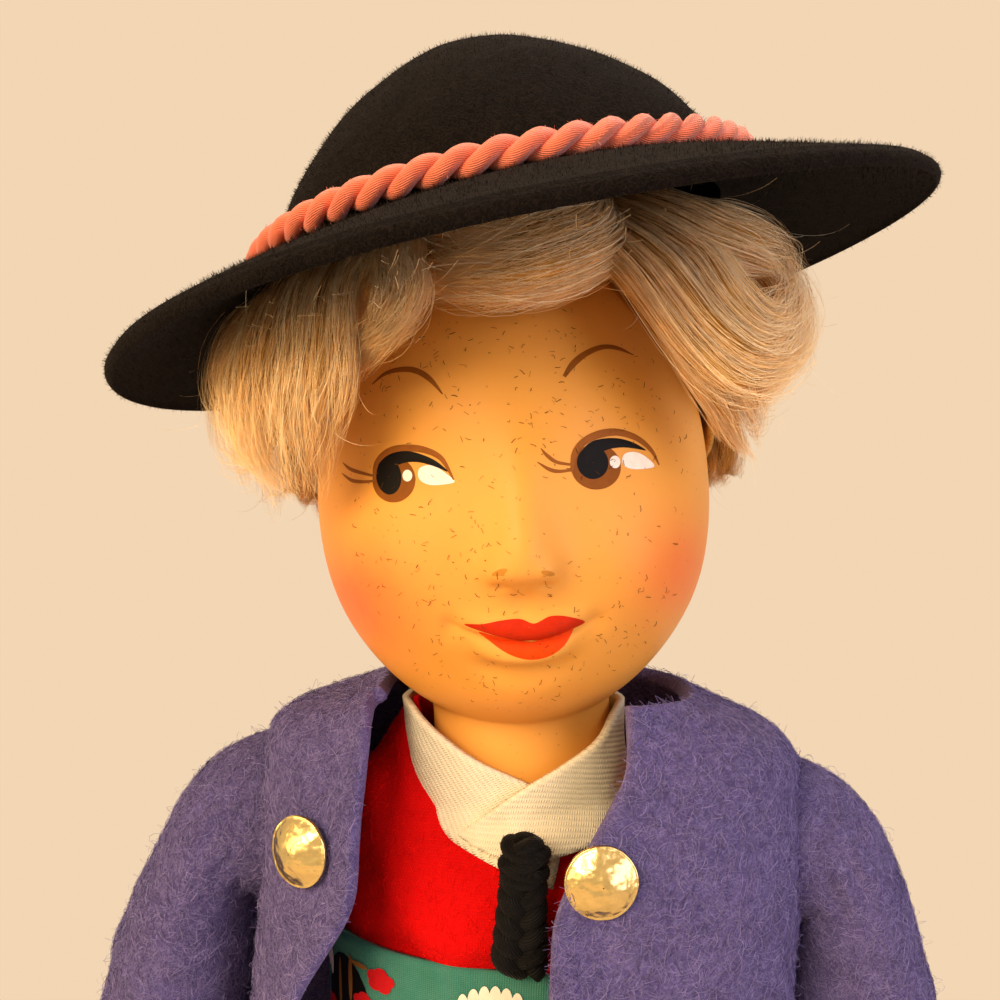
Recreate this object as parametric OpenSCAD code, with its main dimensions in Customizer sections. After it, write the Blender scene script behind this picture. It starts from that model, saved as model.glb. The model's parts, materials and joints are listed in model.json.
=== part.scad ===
// Costume doll: a boy in alpine dress with a felt hat.
// Pegged composition doll. The head turns, the arms and the legs swing.
// Millimetres, +Z up. The doll faces -Y and its left hand is on +X.
// The soles stand on z = 0.

/* [Figure] */
// Height of the hip joints above the floor
hip_height = 82; // [74:1:92]
// Rise from the hip joints to the shoulder joints
torso_rise = 52.5; // [50:0.5:58]
// Rise from the shoulder joints down or up to the centre of the neck ball
neck_rise = -3; // [-4:0.5:-2]
// Distance from the neck ball to the centre of the head
head_rise = 31.2; // [31:0.2:35]
// Lean of the neck and head to the doll's right
head_lean = 5.2; // [0:0.2:6]
// Turn of the face to the doll's left at rest
head_turn = 1.2; // [0:0.2:5]

/* [Torso] */
// Width of the chest
chest_width = 30; // [28:0.5:33]
// Depth of the chest
chest_depth = 19; // [18:0.5:20]
// Width of the waist
waist_width = 28.4; // [26:0.2:30]
// Depth of the waist
waist_depth = 18.4; // [17:0.2:19]
// Distance of the hips' sides outside the hip balls
hip_side = 0.9; // [0.6:0.1:1.6]
// Depth over the hips
hip_depth = 19.6; // [18:0.2:20.4]
// Distance between the centres of the two hip balls
hip_span = 16.4; // [16.2:0.1:17]
// Thickness of the tongue between the legs
tongue_width = 3; // [2:0.1:3.2]
// Diameter of the wire axle of the hips
axle_diameter = 1.8; // [1.2:0.1:2.4]

/* [Head] */
// Width of the head
head_width = 32.4; // [31:0.2:35]
// Depth of the head
head_depth = 34.5; // [32:0.5:36]
// Rise of the skull above the centre of the head
skull_rise = 24; // [23:0.5:25]
// Drop of the chin below the centre of the head
chin_drop = 19; // [17:0.1:19.4]
// Distance of the head's centre in front of the neck's axis
head_forward = 1.5; // [0:0.1:2]
// Wall of the head
head_wall = 2.4; // [2:0.1:3.2]
// Diameter of the neck where the collar goes round it
neck_diameter = 15; // [13:0.2:15.4]
// Diameter of the ball at the lower end of the neck
neck_ball_diameter = 13.2; // [12:0.2:13.6]
// Height of the nose above the face
nose_height = 2.9; // [2:0.1:3.6]
// Half width of the nose
nose_spread = 2.1; // [1.6:0.1:2.6]
// Height of the cheeks above the plain oval
cheek_height = 0.9; // [0.4:0.1:1.4]
// Height of the chin above the plain oval
chin_height = 0.8; // [0.2:0.1:1.2]
// Height of the lips above the face
lip_height = 0.75; // [0.3:0.05:1]
// Depth of the eye hollows
eye_hollow = 0.6; // [0.2:0.1:1]
// Distance between the centres of the eyes
eye_span = 14.8; // [13:0.2:16]

/* [Wig] */
// Thickness of the cloth cap under the hair
cap_thickness = 0.5; // [0.3:0.1:0.9]
// Height of the hair's edge above the head's centre at the forehead
hairline_front = 13; // [11:0.5:14]
// Height of the hair's edge at the temples
hairline_side = 1; // [0:0.5:4]
// Height of the hair's edge at the nape
hairline_back = -9; // [-10:0.5:-2]
// Thickness of the hair at the forehead
fringe_thickness = 5.5; // [3:0.5:7]
// Thickness of the hair on the doll's right side
right_thickness = 9; // [6:0.5:11]
// Thickness of the rolled hair on the doll's left side
left_thickness = 12.5; // [8:0.5:14]
// Thickness of the hair at the back
back_thickness = 6.5; // [4:0.5:8]
// Depth of the grooves between the locks
lock_depth = 0.7; // [0:0.1:1]
// Number of locks round the head
lock_count = 17; // [9:2:23]

/* [Hat] */
// Height of the crown's foot above the centre of the head
hat_rise = 20.8; // [20:0.2:23]
// Roll of the hat, its left side up
hat_roll = 11; // [4:0.1:12]
// Pitch of the hat, its front down when above zero
hat_pitch = -0.6; // [-5:0.1:3]
// Shift of the hat to the doll's left
hat_shift = 0.5; // [0:0.1:3]
// Shift of the hat to the back of the head
hat_back = 2.2; // [0:0.1:3]
// Diameter of the crown where it meets the brim
crown_diameter = 39.5; // [38:0.5:44]
// Height of the crown
crown_height = 17.8; // [16:0.2:24]
// Diameter of the brim
brim_diameter = 69; // [62:0.5:74]
// Droop of the brim from the crown's foot to its edge
brim_droop = 5.2; // [3:0.2:6]
// Thickness of the hat's felt
hat_felt_thickness = 1.3; // [1:0.1:1.8]
// Diameter of the cord round the crown
hat_cord_diameter = 2.2; // [1.2:0.1:2.6]

/* [Jacket] */
// Distance of the shoulder joint outside the side of the chest
shoulder_out = 3; // [2.6:0.1:3.4]
// Distance of the jacket's shoulder edge outside the shoulder joint
shoulder_cap = 4.2; // [2.6:0.1:4.6]
// Depth of the jacket from front to back
jacket_depth = 29; // [28.4:0.2:32]
// Rise of the hem above the hip joints
hem_rise = 15; // [13:0.5:20]
// Outward flare of the hem
hem_flare = 1; // [0.4:0.1:1.4]
// Distance of the right front's edge from the middle
right_edge = 12.8; // [10:0.2:14]
// Distance of the left front's edge from the middle
left_edge = 1.4; // [1.4:0.2:6]
// Thickness of the jacket's felt
jacket_felt = 1.4; // [1:0.1:1.6]
// Depth of the soft folds at the hem
fold_depth = 0.35; // [0:0.05:0.5]
// Number of soft folds round the hem
fold_count = 7; // [3:1:9]
// Distance of the right button from its front's edge
right_button = 4.4; // [3:0.1:5]
// Distance of the left button from its front's edge
left_button = 3.4; // [3:0.1:5]
// Diameter of the jacket's buttons
button_diameter = 5.4; // [4:0.1:6]
// Height of a button's dome
button_dome = 1.9; // [1:0.1:2.4]

/* [Arms and sleeves] */
// Diameter of the arm's shoulder ball
shoulder_ball_diameter = 10.4; // [9.6:0.2:10.8]
// Length of the arm from the shoulder joint to the fingertips
arm_length = 54; // [48:0.5:60]
// Length of the sleeve below the shoulder joint
sleeve_length = 37; // [33:0.5:40]
// Thickness of the sleeve's felt
sleeve_felt = 1.2; // [0.9:0.1:1.3]
// Outer width of the sleeve at its cuff
cuff_width = 12.6; // [12:0.2:14]
// Diameter of the arm's turned peg
peg_diameter = 3.2; // [2.4:0.1:3.6]
// Diameter of the peg's knob
knob_diameter = 6; // [5:0.1:6.4]

/* [Waistcoat, collar, tie and belt] */
// Thickness of the waistcoat
waistcoat_thickness = 0.8; // [0.5:0.1:1]
// Width of the collar's tape
tape_width = 6.4; // [5:0.1:6.8]
// Thickness of the collar's tape
tape_thickness = 0.6; // [0.4:0.05:0.7]
// Width of the tie
tie_width = 4; // [3:0.1:4.2]
// Thickness of the tie
tie_thickness = 2.4; // [1.6:0.1:2.6]
// Length of the tie
tie_length = 10.6; // [8:0.1:11]
// Width of the belt's ribbon
belt_width = 11.4; // [8:0.2:12]
// Thickness of the belt's ribbon
belt_thickness = 0.6; // [0.4:0.1:0.8]
// Rise of the belt's lower edge above the hip joints
belt_rise = 33; // [30:0.5:34]

/* [Breeches, stockings and shoes] */
// Diameter of the leg's hip ball
hip_ball_diameter = 12.4; // [11:0.2:12.6]
// Thickness of the breeches' felt
breeches_thickness = 1; // [0.7:0.1:1.2]
// Width of a breeches leg above the knee
breeches_width = 14.6; // [14.2:0.1:14.8]
// Height of the breeches' lower edge above the floor
breeches_hem = 47; // [42:0.5:52]
// Thickness of the stockings
stocking_thickness = 0.6; // [0.4:0.1:0.8]
// Height of the stockings above the floor
stocking_top = 52; // [48:0.5:54]
// Length of a shoe
shoe_length = 26.5; // [24:0.5:30]
// Width of a shoe
shoe_width = 11; // [10.6:0.2:12]
// Height of a shoe at the ankle
shoe_height = 12.5; // [11:0.5:14]
// Thickness of a shoe's upper
upper_thickness = 0.8; // [0.6:0.1:1]
// Thickness of a sole
sole_thickness = 1.8; // [1.2:0.1:2.6]

/* [Clearances] */
// Gap between faces that turn past each other
joint_gap = 0.3; // [0.2:0.05:0.4]
// Ease between a garment and what it is worn over
cloth_ease = 0.3; // [0.2:0.05:0.4]
// Gap between pieces that are sewn or glued together
seam_gap = 0.1; // [0.05:0.05:0.2]
// Ease of the wig's layers over the skull
wig_ease = 0.45; // [0.4:0.05:0.6]

/* [Hidden] */

// Fineness of turned pieces, of lofted limbs and of lofted garments
$fn = 48;
limb_sides = 20;
cloth_sides = 32;
torso_sides = 28;
head_sides = 44;
head_rings = 32;

// Heights of the joints and of the garments' edges
shoulder_height = hip_height + torso_rise;
neck_height = shoulder_height + neck_rise;
belt_bottom = hip_height + belt_rise;
belt_top = belt_bottom + belt_width;
jacket_hem = hip_height + hem_rise;

// Half sizes
chest_x = chest_width / 2;
chest_y = chest_depth / 2;
waist_x = waist_width / 2;
waist_y = waist_depth / 2;
hips_y = hip_depth / 2;
hip_x = hip_span / 2;
shoulder_x = chest_x + shoulder_out;
head_x = head_width / 2;
head_y = head_depth / 2;
neck_radius = neck_diameter / 2;
neck_ball = neck_ball_diameter / 2;
shoulder_ball = shoulder_ball_diameter / 2;
hip_ball = hip_ball_diameter / 2;
hips_x = hip_x + hip_ball + hip_side;
hip_width = 2 * hips_x;
crown_radius = crown_diameter / 2;
brim_radius = brim_diameter / 2;
cord_radius = hat_cord_diameter / 2;
jacket_x = shoulder_x + shoulder_cap;
jacket_y = jacket_depth / 2;
button_radius = button_diameter / 2;

// The sleeve fits over the shoulder ball and the armhole goes round the sleeve
sleeve_root = shoulder_ball + 2 * seam_gap + joint_gap - seam_gap + sleeve_felt;
armhole_radius = sleeve_root + joint_gap + seam_gap;

// Offsets of the layers from the torso's skin
waistcoat_in = cloth_ease;
waistcoat_out = waistcoat_in + waistcoat_thickness;
belt_in = waistcoat_out + seam_gap;
belt_out = belt_in + belt_thickness;

// Arithmetic for the forms
function mix(a, b, t) = a + (b - a) * t;
function ease01(t) = let (c = max(0, min(1, t))) c * c * (3 - 2 * c);
function bend(x, p) = sign(x) * pow(abs(x), p);
function unit(v) = v / norm(v);
function flip(list) = [for (i = [len(list) - 1:-1:0]) list[i]];
function span_of(table, x, i = 0) =
    (i >= len(table) - 2 || x < table[i + 1][0]) ? i : span_of(table, x, i + 1);
function flow(p0, p1, p2, p3, t) =
    0.5 * (2 * p1 + (p2 - p0) * t + (2 * p0 - 5 * p1 + 4 * p2 - p3) * t * t
    + (3 * p1 - p0 - 3 * p2 + p3) * t * t * t);
// Smooth values between the rows of a table, whose first column is the position
function curve(table, x) =
    let (i = span_of(table, x), n = len(table))
    let (a = table[max(i - 1, 0)], b = table[i], c = table[i + 1], d = table[min(i + 2, n - 1)])
    let (t = (x - b[0]) / (c[0] - b[0]))
    [for (k = [1:len(b) - 1]) flow(a[k], b[k], c[k], d[k], t)];
// Level oval ring, tilted by slope along Y
function oval(cx, cy, z, rx, ry, sides, slope = 0, power = 2) =
    [for (i = [0:sides - 1])
        let (t = 360 * i / sides)
        let (y = ry * bend(sin(t), 2 / power))
        [cx + rx * bend(cos(t), 2 / power), cy + y, z + slope * y]];
// Ring across a limb that runs at an angle from straight down, in the XZ plane
function limb_ring(x, y, z, angle, rx, ry, sides) =
    [for (i = [0:sides - 1])
        let (t = 360 * i / sides)
        [x + rx * cos(t) * cos(angle), y - ry * sin(t), z + rx * cos(t) * sin(angle)]];

// Solid over rings of equally many points. A joined skin runs back to its first ring.
module skin(rings, joined = false) {
    n = len(rings[0]);
    m = len(rings);
    points = [for (r = rings) each r];
    walls = [for (j = [0:m - (joined ? 1 : 2)], i = [0:n - 1])
        let (k = (i + 1) % n, below = j * n, above = ((j + 1) % m) * n)
        each [[below + i, above + i, above + k], [below + i, above + k, below + k]]];
    lower = joined ? [] : [for (i = [1:n - 2]) [0, i, i + 1]];
    upper = joined ? [] : [for (i = [1:n - 2]) [(m - 1) * n, (m - 1) * n + i + 1, (m - 1) * n + i]];
    polyhedron(points = points, faces = concat(walls, lower, upper));
}

// Solid over open strips: the first half of each ring is the outer face and
// the second half, run backwards, is the inner face
module strip_skin(rings) {
    n = len(rings[0]);
    m = len(rings);
    half = n / 2;
    top = (m - 1) * n;
    points = [for (r = rings) each r];
    walls = [for (j = [0:m - 2], i = [0:n - 1])
        let (k = (i + 1) % n, below = j * n, above = (j + 1) * n)
        each [[below + i, above + i, above + k], [below + i, above + k, below + k]]];
    lower = [for (i = [0:half - 2]) each [[i, i + 1, n - 2 - i], [i, n - 2 - i, n - 1 - i]]];
    upper = [for (i = [0:half - 2])
        each [[top + i, top + n - 2 - i, top + i + 1], [top + i, top + n - 1 - i, top + n - 2 - i]]];
    polyhedron(points = points, faces = concat(walls, lower, upper));
}

// Frames of the neck and the hat
module neck_frame() {
    translate([0, 0, neck_height])
        rotate([0, -head_lean, 0])
            children();
}

module head_frame() {
    neck_frame()
        rotate([0, 0, head_turn])
            translate([0, -head_forward, head_rise])
                children();
}

module hat_frame() {
    head_frame()
        translate([hat_shift, hat_back, hat_rise])
            rotate([hat_pitch, -hat_roll, 0])
                children();
}

module left_and_right(side) {
    mirror([side < 0 ? 1 : 0, 0, 0])
        children();
}

// Torso skin: rows of height, half width and half depth
crotch_rise = 2.5;
seat_rise = 9;
chest_drop = 8;
collar_bone_rise = 1;
torso_top_rise = 2.2;
torso_rows = [
    [hip_height + crotch_rise, hips_x * 0.84, hips_y * 0.8],
    [hip_height + seat_rise, hips_x, hips_y],
    [belt_bottom - 2, waist_x, waist_y],
    [shoulder_height - chest_drop, chest_x, chest_y],
    [shoulder_height - 1, chest_x, chest_y * 0.89],
    [shoulder_height + collar_bone_rise, chest_x * 0.9, chest_y * 0.75],
    [shoulder_height + torso_top_rise, chest_x * 0.74, chest_y * 0.58]];
torso_low = torso_rows[0][0];
torso_high = torso_rows[len(torso_rows) - 1][0];
torso_steps = 11;

function torso_ring(z, offset, sides) =
    let (half = curve(torso_rows, min(z, torso_high)))
    oval(0, 0, z, half[0] + offset, half[1] + offset, sides);
function torso_levels(from, to, steps) = [for (i = [0:steps]) mix(from, to, i / steps)];

// Bearings cut into the torso. The seam between its halves runs through every peg.
peg_radius = peg_diameter / 2;
knob_radius = knob_diameter / 2;
knob_length = 2;
knob_wall = 1.6;
arm_knob_outer = shoulder_x - shoulder_ball - joint_gap - knob_wall - joint_gap;
arm_knob_inner = arm_knob_outer - knob_length;
neck_shank = 4.4;
neck_knob_length = 3;

module arm_bearing() {
    translate([shoulder_x, 0, shoulder_height])
        sphere(r = shoulder_ball + joint_gap);
    translate([arm_knob_inner - joint_gap, 0, shoulder_height])
        rotate([0, 90, 0])
            cylinder(r = knob_radius + joint_gap, h = knob_length + 2 * joint_gap);
    translate([arm_knob_inner, 0, shoulder_height])
        rotate([0, 90, 0])
            cylinder(r = peg_radius + joint_gap, h = shoulder_x - arm_knob_inner);
}

neck_taper = 6;
module neck_bearing() {
    neck_frame() {
        sphere(r = neck_ball + joint_gap);
        cylinder(r1 = neck_ball + joint_gap, r2 = neck_radius + joint_gap, h = neck_taper);
        translate([0, 0, neck_taper])
            cylinder(r = neck_radius + joint_gap, h = neck_taper);
        translate([0, 0, -neck_ball - neck_shank])
            cylinder(r = peg_radius + joint_gap, h = neck_shank + neck_ball);
        translate([0, 0, -neck_ball - neck_shank - neck_knob_length - joint_gap])
            cylinder(r = knob_radius + joint_gap, h = neck_knob_length + 2 * joint_gap);
    }
}

// The thighs swing forward under the front of the torso
seat_cut = hip_ball + joint_gap + seam_gap;
tongue_drop = 6;
tongue_depth = 9;

module leg_bearing(side) {
    left_and_right(side) {
        translate([hip_x, 0, hip_height])
            sphere(r = hip_ball + joint_gap);
        translate([tongue_width / 2, -hips_y - 1, hip_height - hip_ball])
            cube([hips_x, hips_y + 1, hip_ball + seat_cut]);
    }
}

module torso_whole() {
    difference() {
        union() {
            skin([for (z = torso_levels(torso_low, torso_high, torso_steps)) torso_ring(z, 0, torso_sides)]);
            translate([-tongue_width / 2, 0, hip_height])
                rotate([0, 90, 0])
                    cylinder(d = tongue_depth, h = tongue_width);
            translate([-tongue_width / 2, -tongue_depth / 2, hip_height])
                cube([tongue_width, tongue_depth, seat_rise]);
        }
        neck_bearing();
        arm_bearing();
        left_and_right(-1)
            arm_bearing();
        leg_bearing(1);
        leg_bearing(-1);
        translate([-tongue_width, 0, hip_height])
            rotate([0, 90, 0])
                cylinder(d = axle_diameter, h = 2 * tongue_width);
    }
}

torso_half_box = 2 * shoulder_height;
module torso_front() {
    color("#d9b48f")
        intersection() {
            torso_whole();
            translate([-torso_half_box / 2, -torso_half_box, 0])
                cube(torso_half_box);
        }
}

module torso_back() {
    color("#d3ad88")
        difference() {
            torso_whole();
            translate([-torso_half_box / 2, -torso_half_box, 0])
                cube(torso_half_box);
        }
}

// Wire axle through both hip balls, with a riveted head at each end
axle_head = 0.6;
axle_reach = hip_x + hip_ball + joint_gap;
module hip_axle() {
    color("#9a9a98")
        rotate([0, 90, 0]) {
            translate([-hip_height, 0, -axle_reach - axle_head])
                cylinder(d = axle_diameter, h = 2 * (axle_reach + axle_head));
            translate([-hip_height, 0, axle_reach])
                cylinder(d = 2 * axle_diameter, h = axle_head);
            translate([-hip_height, 0, -axle_reach - axle_head])
                cylinder(d = 2 * axle_diameter, h = axle_head);
        }
}

// Collar surface: a sleeve round the neck that opens out over the chest
collar_gap = neck_radius + joint_gap + seam_gap + tape_thickness / 2;
collar_break = 6.5;
collar_flare = 0.45;
collar_front = 5.2;
collar_back = 10.4;
collar_side = 75;
collar_end = -16;
collar_steps = 26;
tape_steps = 4;
function collar_radius(w) = collar_gap + max(0, collar_break - w) * collar_flare;
function collar_level(a) =
    a < collar_side ? collar_front + (collar_back - collar_front) * a / collar_side : collar_back;
// Place on the tape at an angle from the front. Side 1 is the doll's left, which lies on top.
function collar_at(side, a) =
    let (w = collar_level(a))
    let (lift = side > 0 ? (tape_thickness + 2 * seam_gap) * ease01((collar_side - a) / collar_side * 2) : 0)
    let (r = collar_radius(w) + lift)
    [side * r * sin(a), -r * cos(a), w];
function collar_normal(side, a) =
    unit([side * sin(a), -cos(a), collar_level(a) < collar_break ? collar_flare : 0]);
function collar_corner(p, lift) =
    let (reach = norm([p[0], p[1]]), r = collar_radius(p[2]) + lift)
    [p[0] * r / reach, p[1] * r / reach, p[2]];
function collar_section(side, a) =
    let (step = 0.5)
    let (p = collar_at(side, a), n = collar_normal(side, a))
    let (along = unit(collar_at(side, a + step) - collar_at(side, a - step)))
    let (across = unit(cross(along, n)) * side)
    let (h = across * tape_width / 2, t = tape_thickness / 2)
    let (lift = norm([p[0], p[1]]) - collar_radius(p[2]))
    concat([for (i = [0:tape_steps]) collar_corner(p + h * mix(-1, 1, i / tape_steps), lift + t)],
        [for (i = [tape_steps:-1:0]) collar_corner(p + h * mix(-1, 1, i / tape_steps), lift - t)]);
collar_turns = concat(
    [for (i = [0:collar_steps]) collar_section(-1, mix(collar_end, 180, i / collar_steps))],
    [for (i = [1:collar_steps]) let (s = collar_section(1, mix(180, collar_end, i / collar_steps)))
        s]);

module collar_tape() {
    color("#e9dfc4")
        neck_frame()
            strip_skin(collar_turns);
}

// Waistcoat: a close layer over the torso with armholes and a scooped neck
waistcoat_bottom = belt_bottom - 2;
waistcoat_steps = 10;
waistcoat_levels = torso_levels(waistcoat_bottom, torso_high + waistcoat_in, waistcoat_steps);
neck_scoop = collar_gap + tape_thickness * 2 + 2 * cloth_ease;
module waistcoat() {
    color("#c01f27")
        difference() {
            skin(concat(
                [for (z = waistcoat_levels) torso_ring(z, waistcoat_out, cloth_sides)],
                flip([for (z = waistcoat_levels) torso_ring(z, waistcoat_in, cloth_sides)])), true);
            for (side = [-1, 1])
                left_and_right(side)
                    translate([chest_x / 2, 0, shoulder_height])
                        rotate([0, 90, 0])
                            cylinder(r = armhole_radius, h = chest_x);
            neck_frame()
                translate([0, 0, collar_front - tape_width / 4])
                    cylinder(r1 = neck_scoop, r2 = neck_scoop + collar_flare, h = collar_back);
        }
}

// Belt of woven ribbon over the waistcoat and the waist of the breeches
belt_steps = 4;
belt_levels = torso_levels(belt_bottom, belt_top, belt_steps);
module belt_ribbon() {
    color("#1f7a5c")
        skin(concat(
            [for (z = belt_levels) torso_ring(z, belt_out, cloth_sides)],
            flip([for (z = belt_levels) torso_ring(z, belt_in, cloth_sides)])), true);
}

// Tie: a knot at the crossing of the collar and a tail down to the belt
tie_bottom = belt_top + cloth_ease;
tie_front = collar_radius(tie_bottom - neck_height + tie_length / 2) + tape_thickness * 2 + 2 * cloth_ease;
tie_y = -tie_front - tie_thickness / 2;
tie_rows = [
    [tie_bottom, tie_width * 0.56, tie_thickness * 0.3],
    [tie_bottom + tie_length * 0.08, tie_width * 0.56, tie_thickness * 0.36],
    [tie_bottom + tie_length * 0.32, tie_width * 0.46, tie_thickness * 0.36],
    [tie_bottom + tie_length * 0.45, tie_width * 0.38, tie_thickness * 0.34],
    [tie_bottom + tie_length * 0.52, tie_width * 0.46, tie_thickness * 0.46],
    [tie_bottom + tie_length * 0.72, tie_width * 0.5, tie_thickness * 0.5],
    [tie_bottom + tie_length * 0.93, tie_width * 0.4, tie_thickness * 0.42],
    [tie_bottom + tie_length, tie_width * 0.2, tie_thickness * 0.2]];
tie_steps = 14;
tie_shift = tie_width / 2 - left_edge + cloth_ease;
module tie() {
    color("#17171a")
        skin([for (z = torso_levels(tie_bottom, tie_bottom + tie_length, tie_steps))
            let (half = curve(tie_rows, z))
            oval(-max(0, tie_shift), tie_y, z, half[0], half[1], limb_sides)]);
}

// Jacket body: rows of height, half width and half depth
jacket_square = 2.6;
jacket_y_shift = -0.8;
neckline_x = neck_radius + 4.6;
neckline_y = neck_radius + 3;
shoulder_pad = 1.3;
shoulder_slope = 1.3;
neckline_rise = armhole_radius + jacket_felt + shoulder_pad + shoulder_slope;
jacket_rows = [
    [jacket_hem, jacket_x + hem_flare, jacket_y + hem_flare * 0.4],
    [mix(jacket_hem, shoulder_height, 0.5), jacket_x + hem_flare * 0.5, jacket_y + hem_flare * 0.2],
    [shoulder_height - armhole_radius, jacket_x, jacket_y],
    [shoulder_height, jacket_x, jacket_y - 0.4],
    [shoulder_height + armhole_radius, jacket_x, jacket_y - 1.7],
    [shoulder_height + armhole_radius + jacket_felt * 0.8, jacket_x - 0.4, jacket_y - 2.4],
    [shoulder_height + neckline_rise - shoulder_slope, jacket_x - 1.6, jacket_y - 3],
    [shoulder_height + neckline_rise - shoulder_slope / 2, jacket_x - 6, jacket_y - 3.3],
    [shoulder_height + neckline_rise, neckline_x, neckline_y]];
jacket_points = 38;
jacket_levels = concat(
    torso_levels(jacket_hem, shoulder_height - armhole_radius, 3),
    [for (i = [3:len(jacket_rows) - 1]) jacket_rows[i][0]]);
function jacket_half(z) = curve(jacket_rows, z);
// Outward normal of the jacket's side, as its sideways and upward parts
function jacket_lean(z) =
    let (step = 0.3)
    let (a = jacket_half(max(z - step, jacket_hem))[0])
    let (b = jacket_half(min(z + step, shoulder_height + neckline_rise))[0])
    unit([2 * step, a - b]);
// Edges of the two fronts, which open to the sides of the neck
neck_open = 6.4;
function left_edge_at(z) = mix(left_edge, neck_open, ease01((z - shoulder_height + 4) / (neckline_rise + 4)));
function right_edge_at(z) = min(right_edge, jacket_half(z)[0] * 0.93);
function edge_turn(x, half) = asin(pow(min(0.97, x / half), jacket_square / 2));
function jacket_line(z, rx, ry, fold) =
    let (from = edge_turn(left_edge_at(z), jacket_half(z)[0]))
    let (to = 360 - edge_turn(right_edge_at(z), jacket_half(z)[0]))
    [for (i = [0:jacket_points - 1])
        let (t = mix(from, to, i / (jacket_points - 1)))
        let (wave = 1 + fold * cos(t * fold_count) / rx)
        [rx * wave * bend(sin(t), 2 / jacket_square),
            jacket_y_shift - ry * wave * bend(cos(t), 2 / jacket_square)]];
function jacket_ring(z) =
    let (half = jacket_half(z), lean = jacket_lean(z))
    let (low = ease01((shoulder_height - z) / (shoulder_height - jacket_hem)))
    let (outer = jacket_line(z, half[0], half[1], fold_depth * low))
    let (inner = jacket_line(z, half[0] - jacket_felt * lean[0], half[1] - jacket_felt * lean[0],
        fold_depth * low))
    concat([for (p = outer) [p[0], p[1], z]],
        flip([for (p = inner) [p[0], p[1], z - jacket_felt * lean[1]]]));

module jacket_body() {
    color("#4a4a9c")
        difference() {
            strip_skin([for (z = jacket_levels) jacket_ring(z)]);
            for (side = [-1, 1])
                left_and_right(side)
                    translate([chest_x, 0, shoulder_height])
                        rotate([0, 90, 0])
                            cylinder(r = armhole_radius, h = chest_x);
        }
}

// Domed buttons, seated square on the jacket's fronts
button_drop = -0.6;
button_stand = 0.2;
button_bow = pow(button_radius, 2) / (2 * button_dome) + button_dome / 2;
module domed_button(x) {
    z = shoulder_height - button_drop;
    half = jacket_half(z);
    turn = asin(pow(min(1, abs(x) / half[0]), jacket_square / 2));
    y = half[1] * pow(cos(turn), 2 / jacket_square);
    nx = pow(abs(x) / half[0], jacket_square - 1) / half[0];
    ny = pow(y / half[1], jacket_square - 1) / half[1];
    facing = atan2(nx, ny) * sign(x);
    translate([x, jacket_y_shift - y, z])
        rotate([90, 0, facing])
            translate([0, 0, button_stand])
                intersection() {
                    translate([0, 0, button_dome - button_bow])
                        sphere(r = button_bow);
                    cylinder(r = button_radius, h = button_dome);
                }
}

module button_right() {
    color("#c9a24a")
        domed_button(-right_edge - right_button);
}

module button_left() {
    color("#c9a24a")
        domed_button(left_edge + left_button);
}

// Face: an oval head with hollows for the eyes, cheeks, nose, lips and chin
eye_level = 2.3;
nose_level = -4.6;
mouth_level = -9.7;
mouth_spread = 3.6;
lip_rise = 1.1;
chin_level = -14.6;
function hill(u, w, u0, w0, su, sw) = exp(-pow((u - u0) / su, 2) - pow((w - w0) / sw, 2));
function face_rise(u, w) =
    nose_height * hill(u, w, 0, nose_level, nose_spread, w > nose_level ? 3.1 : 1.5)
    + nose_height * 0.25 * hill(u, w, 0, nose_level + 4, nose_spread * 0.8, 3)
    + cheek_height * (hill(u, w, 8.6, nose_level - 1.6, 5, 4.4) + hill(u, w, -8.6, nose_level - 1.6, 5, 4.4))
    + chin_height * hill(u, w, 0, chin_level, 4.2, 2.6)
    + lip_height * hill(u, w, 0, mouth_level + lip_rise, mouth_spread, 0.9)
    + lip_height * hill(u, w, 0, mouth_level - lip_rise, mouth_spread * 0.8, 1)
    - lip_height * 0.6 * hill(u, w, 0, mouth_level - 2 * lip_rise - 0.8, mouth_spread, 0.9)
    - eye_hollow * (hill(u, w, eye_span / 2, eye_level, 3.8, 2.8) + hill(u, w, -eye_span / 2, eye_level, 3.8, 2.8));
// Distance from the head's centre in the direction of longitude and latitude
function head_radius(lon, lat) =
    let (u = cos(lat) * sin(lon), v = -cos(lat) * cos(lon), w = sin(lat))
    let (r = 1 / sqrt(pow(u / head_x, 2) + pow(v / head_y, 2) + pow(w / (w > 0 ? skull_rise : chin_drop), 2)))
    r + (v < 0 ? face_rise(u * r, w * r) : 0);
function head_point(lon, lat) =
    let (r = head_radius(lon, lat))
    [r * cos(lat) * sin(lon), -r * cos(lat) * cos(lon), r * sin(lat)];
// Closer longitudes at the face than at the back
front_bias = 28;
function head_lon(i) = let (t = 360 * i / head_sides) t - front_bias * sin(t);
pole_gap = 3;
module head_form() {
    skin([for (j = [0:head_rings])
        let (lat = mix(-90 + pole_gap, 90 - pole_gap, j / head_rings))
        [for (i = [0:head_sides - 1]) head_point(head_lon(i), lat)]]);
}

// Neck moulded in one with the head, with a bore for the turned peg
bore_radius = peg_radius + 1.4;
bore_length = head_rise - chin_drop * 0.55;
neck_top = head_rise - chin_drop * 0.6;
cavity_steps = 12;
module head_cavity() {
    translate([0, 0, head_rise])
        rotate_extrude()
            polygon([for (i = [0:cavity_steps])
                let (t = mix(-90, 90, i / cavity_steps))
                [(head_x - head_wall - head_forward) * cos(t),
                    ((t > 0 ? skull_rise : chin_drop) - head_wall) * sin(t)]]);
}

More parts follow.
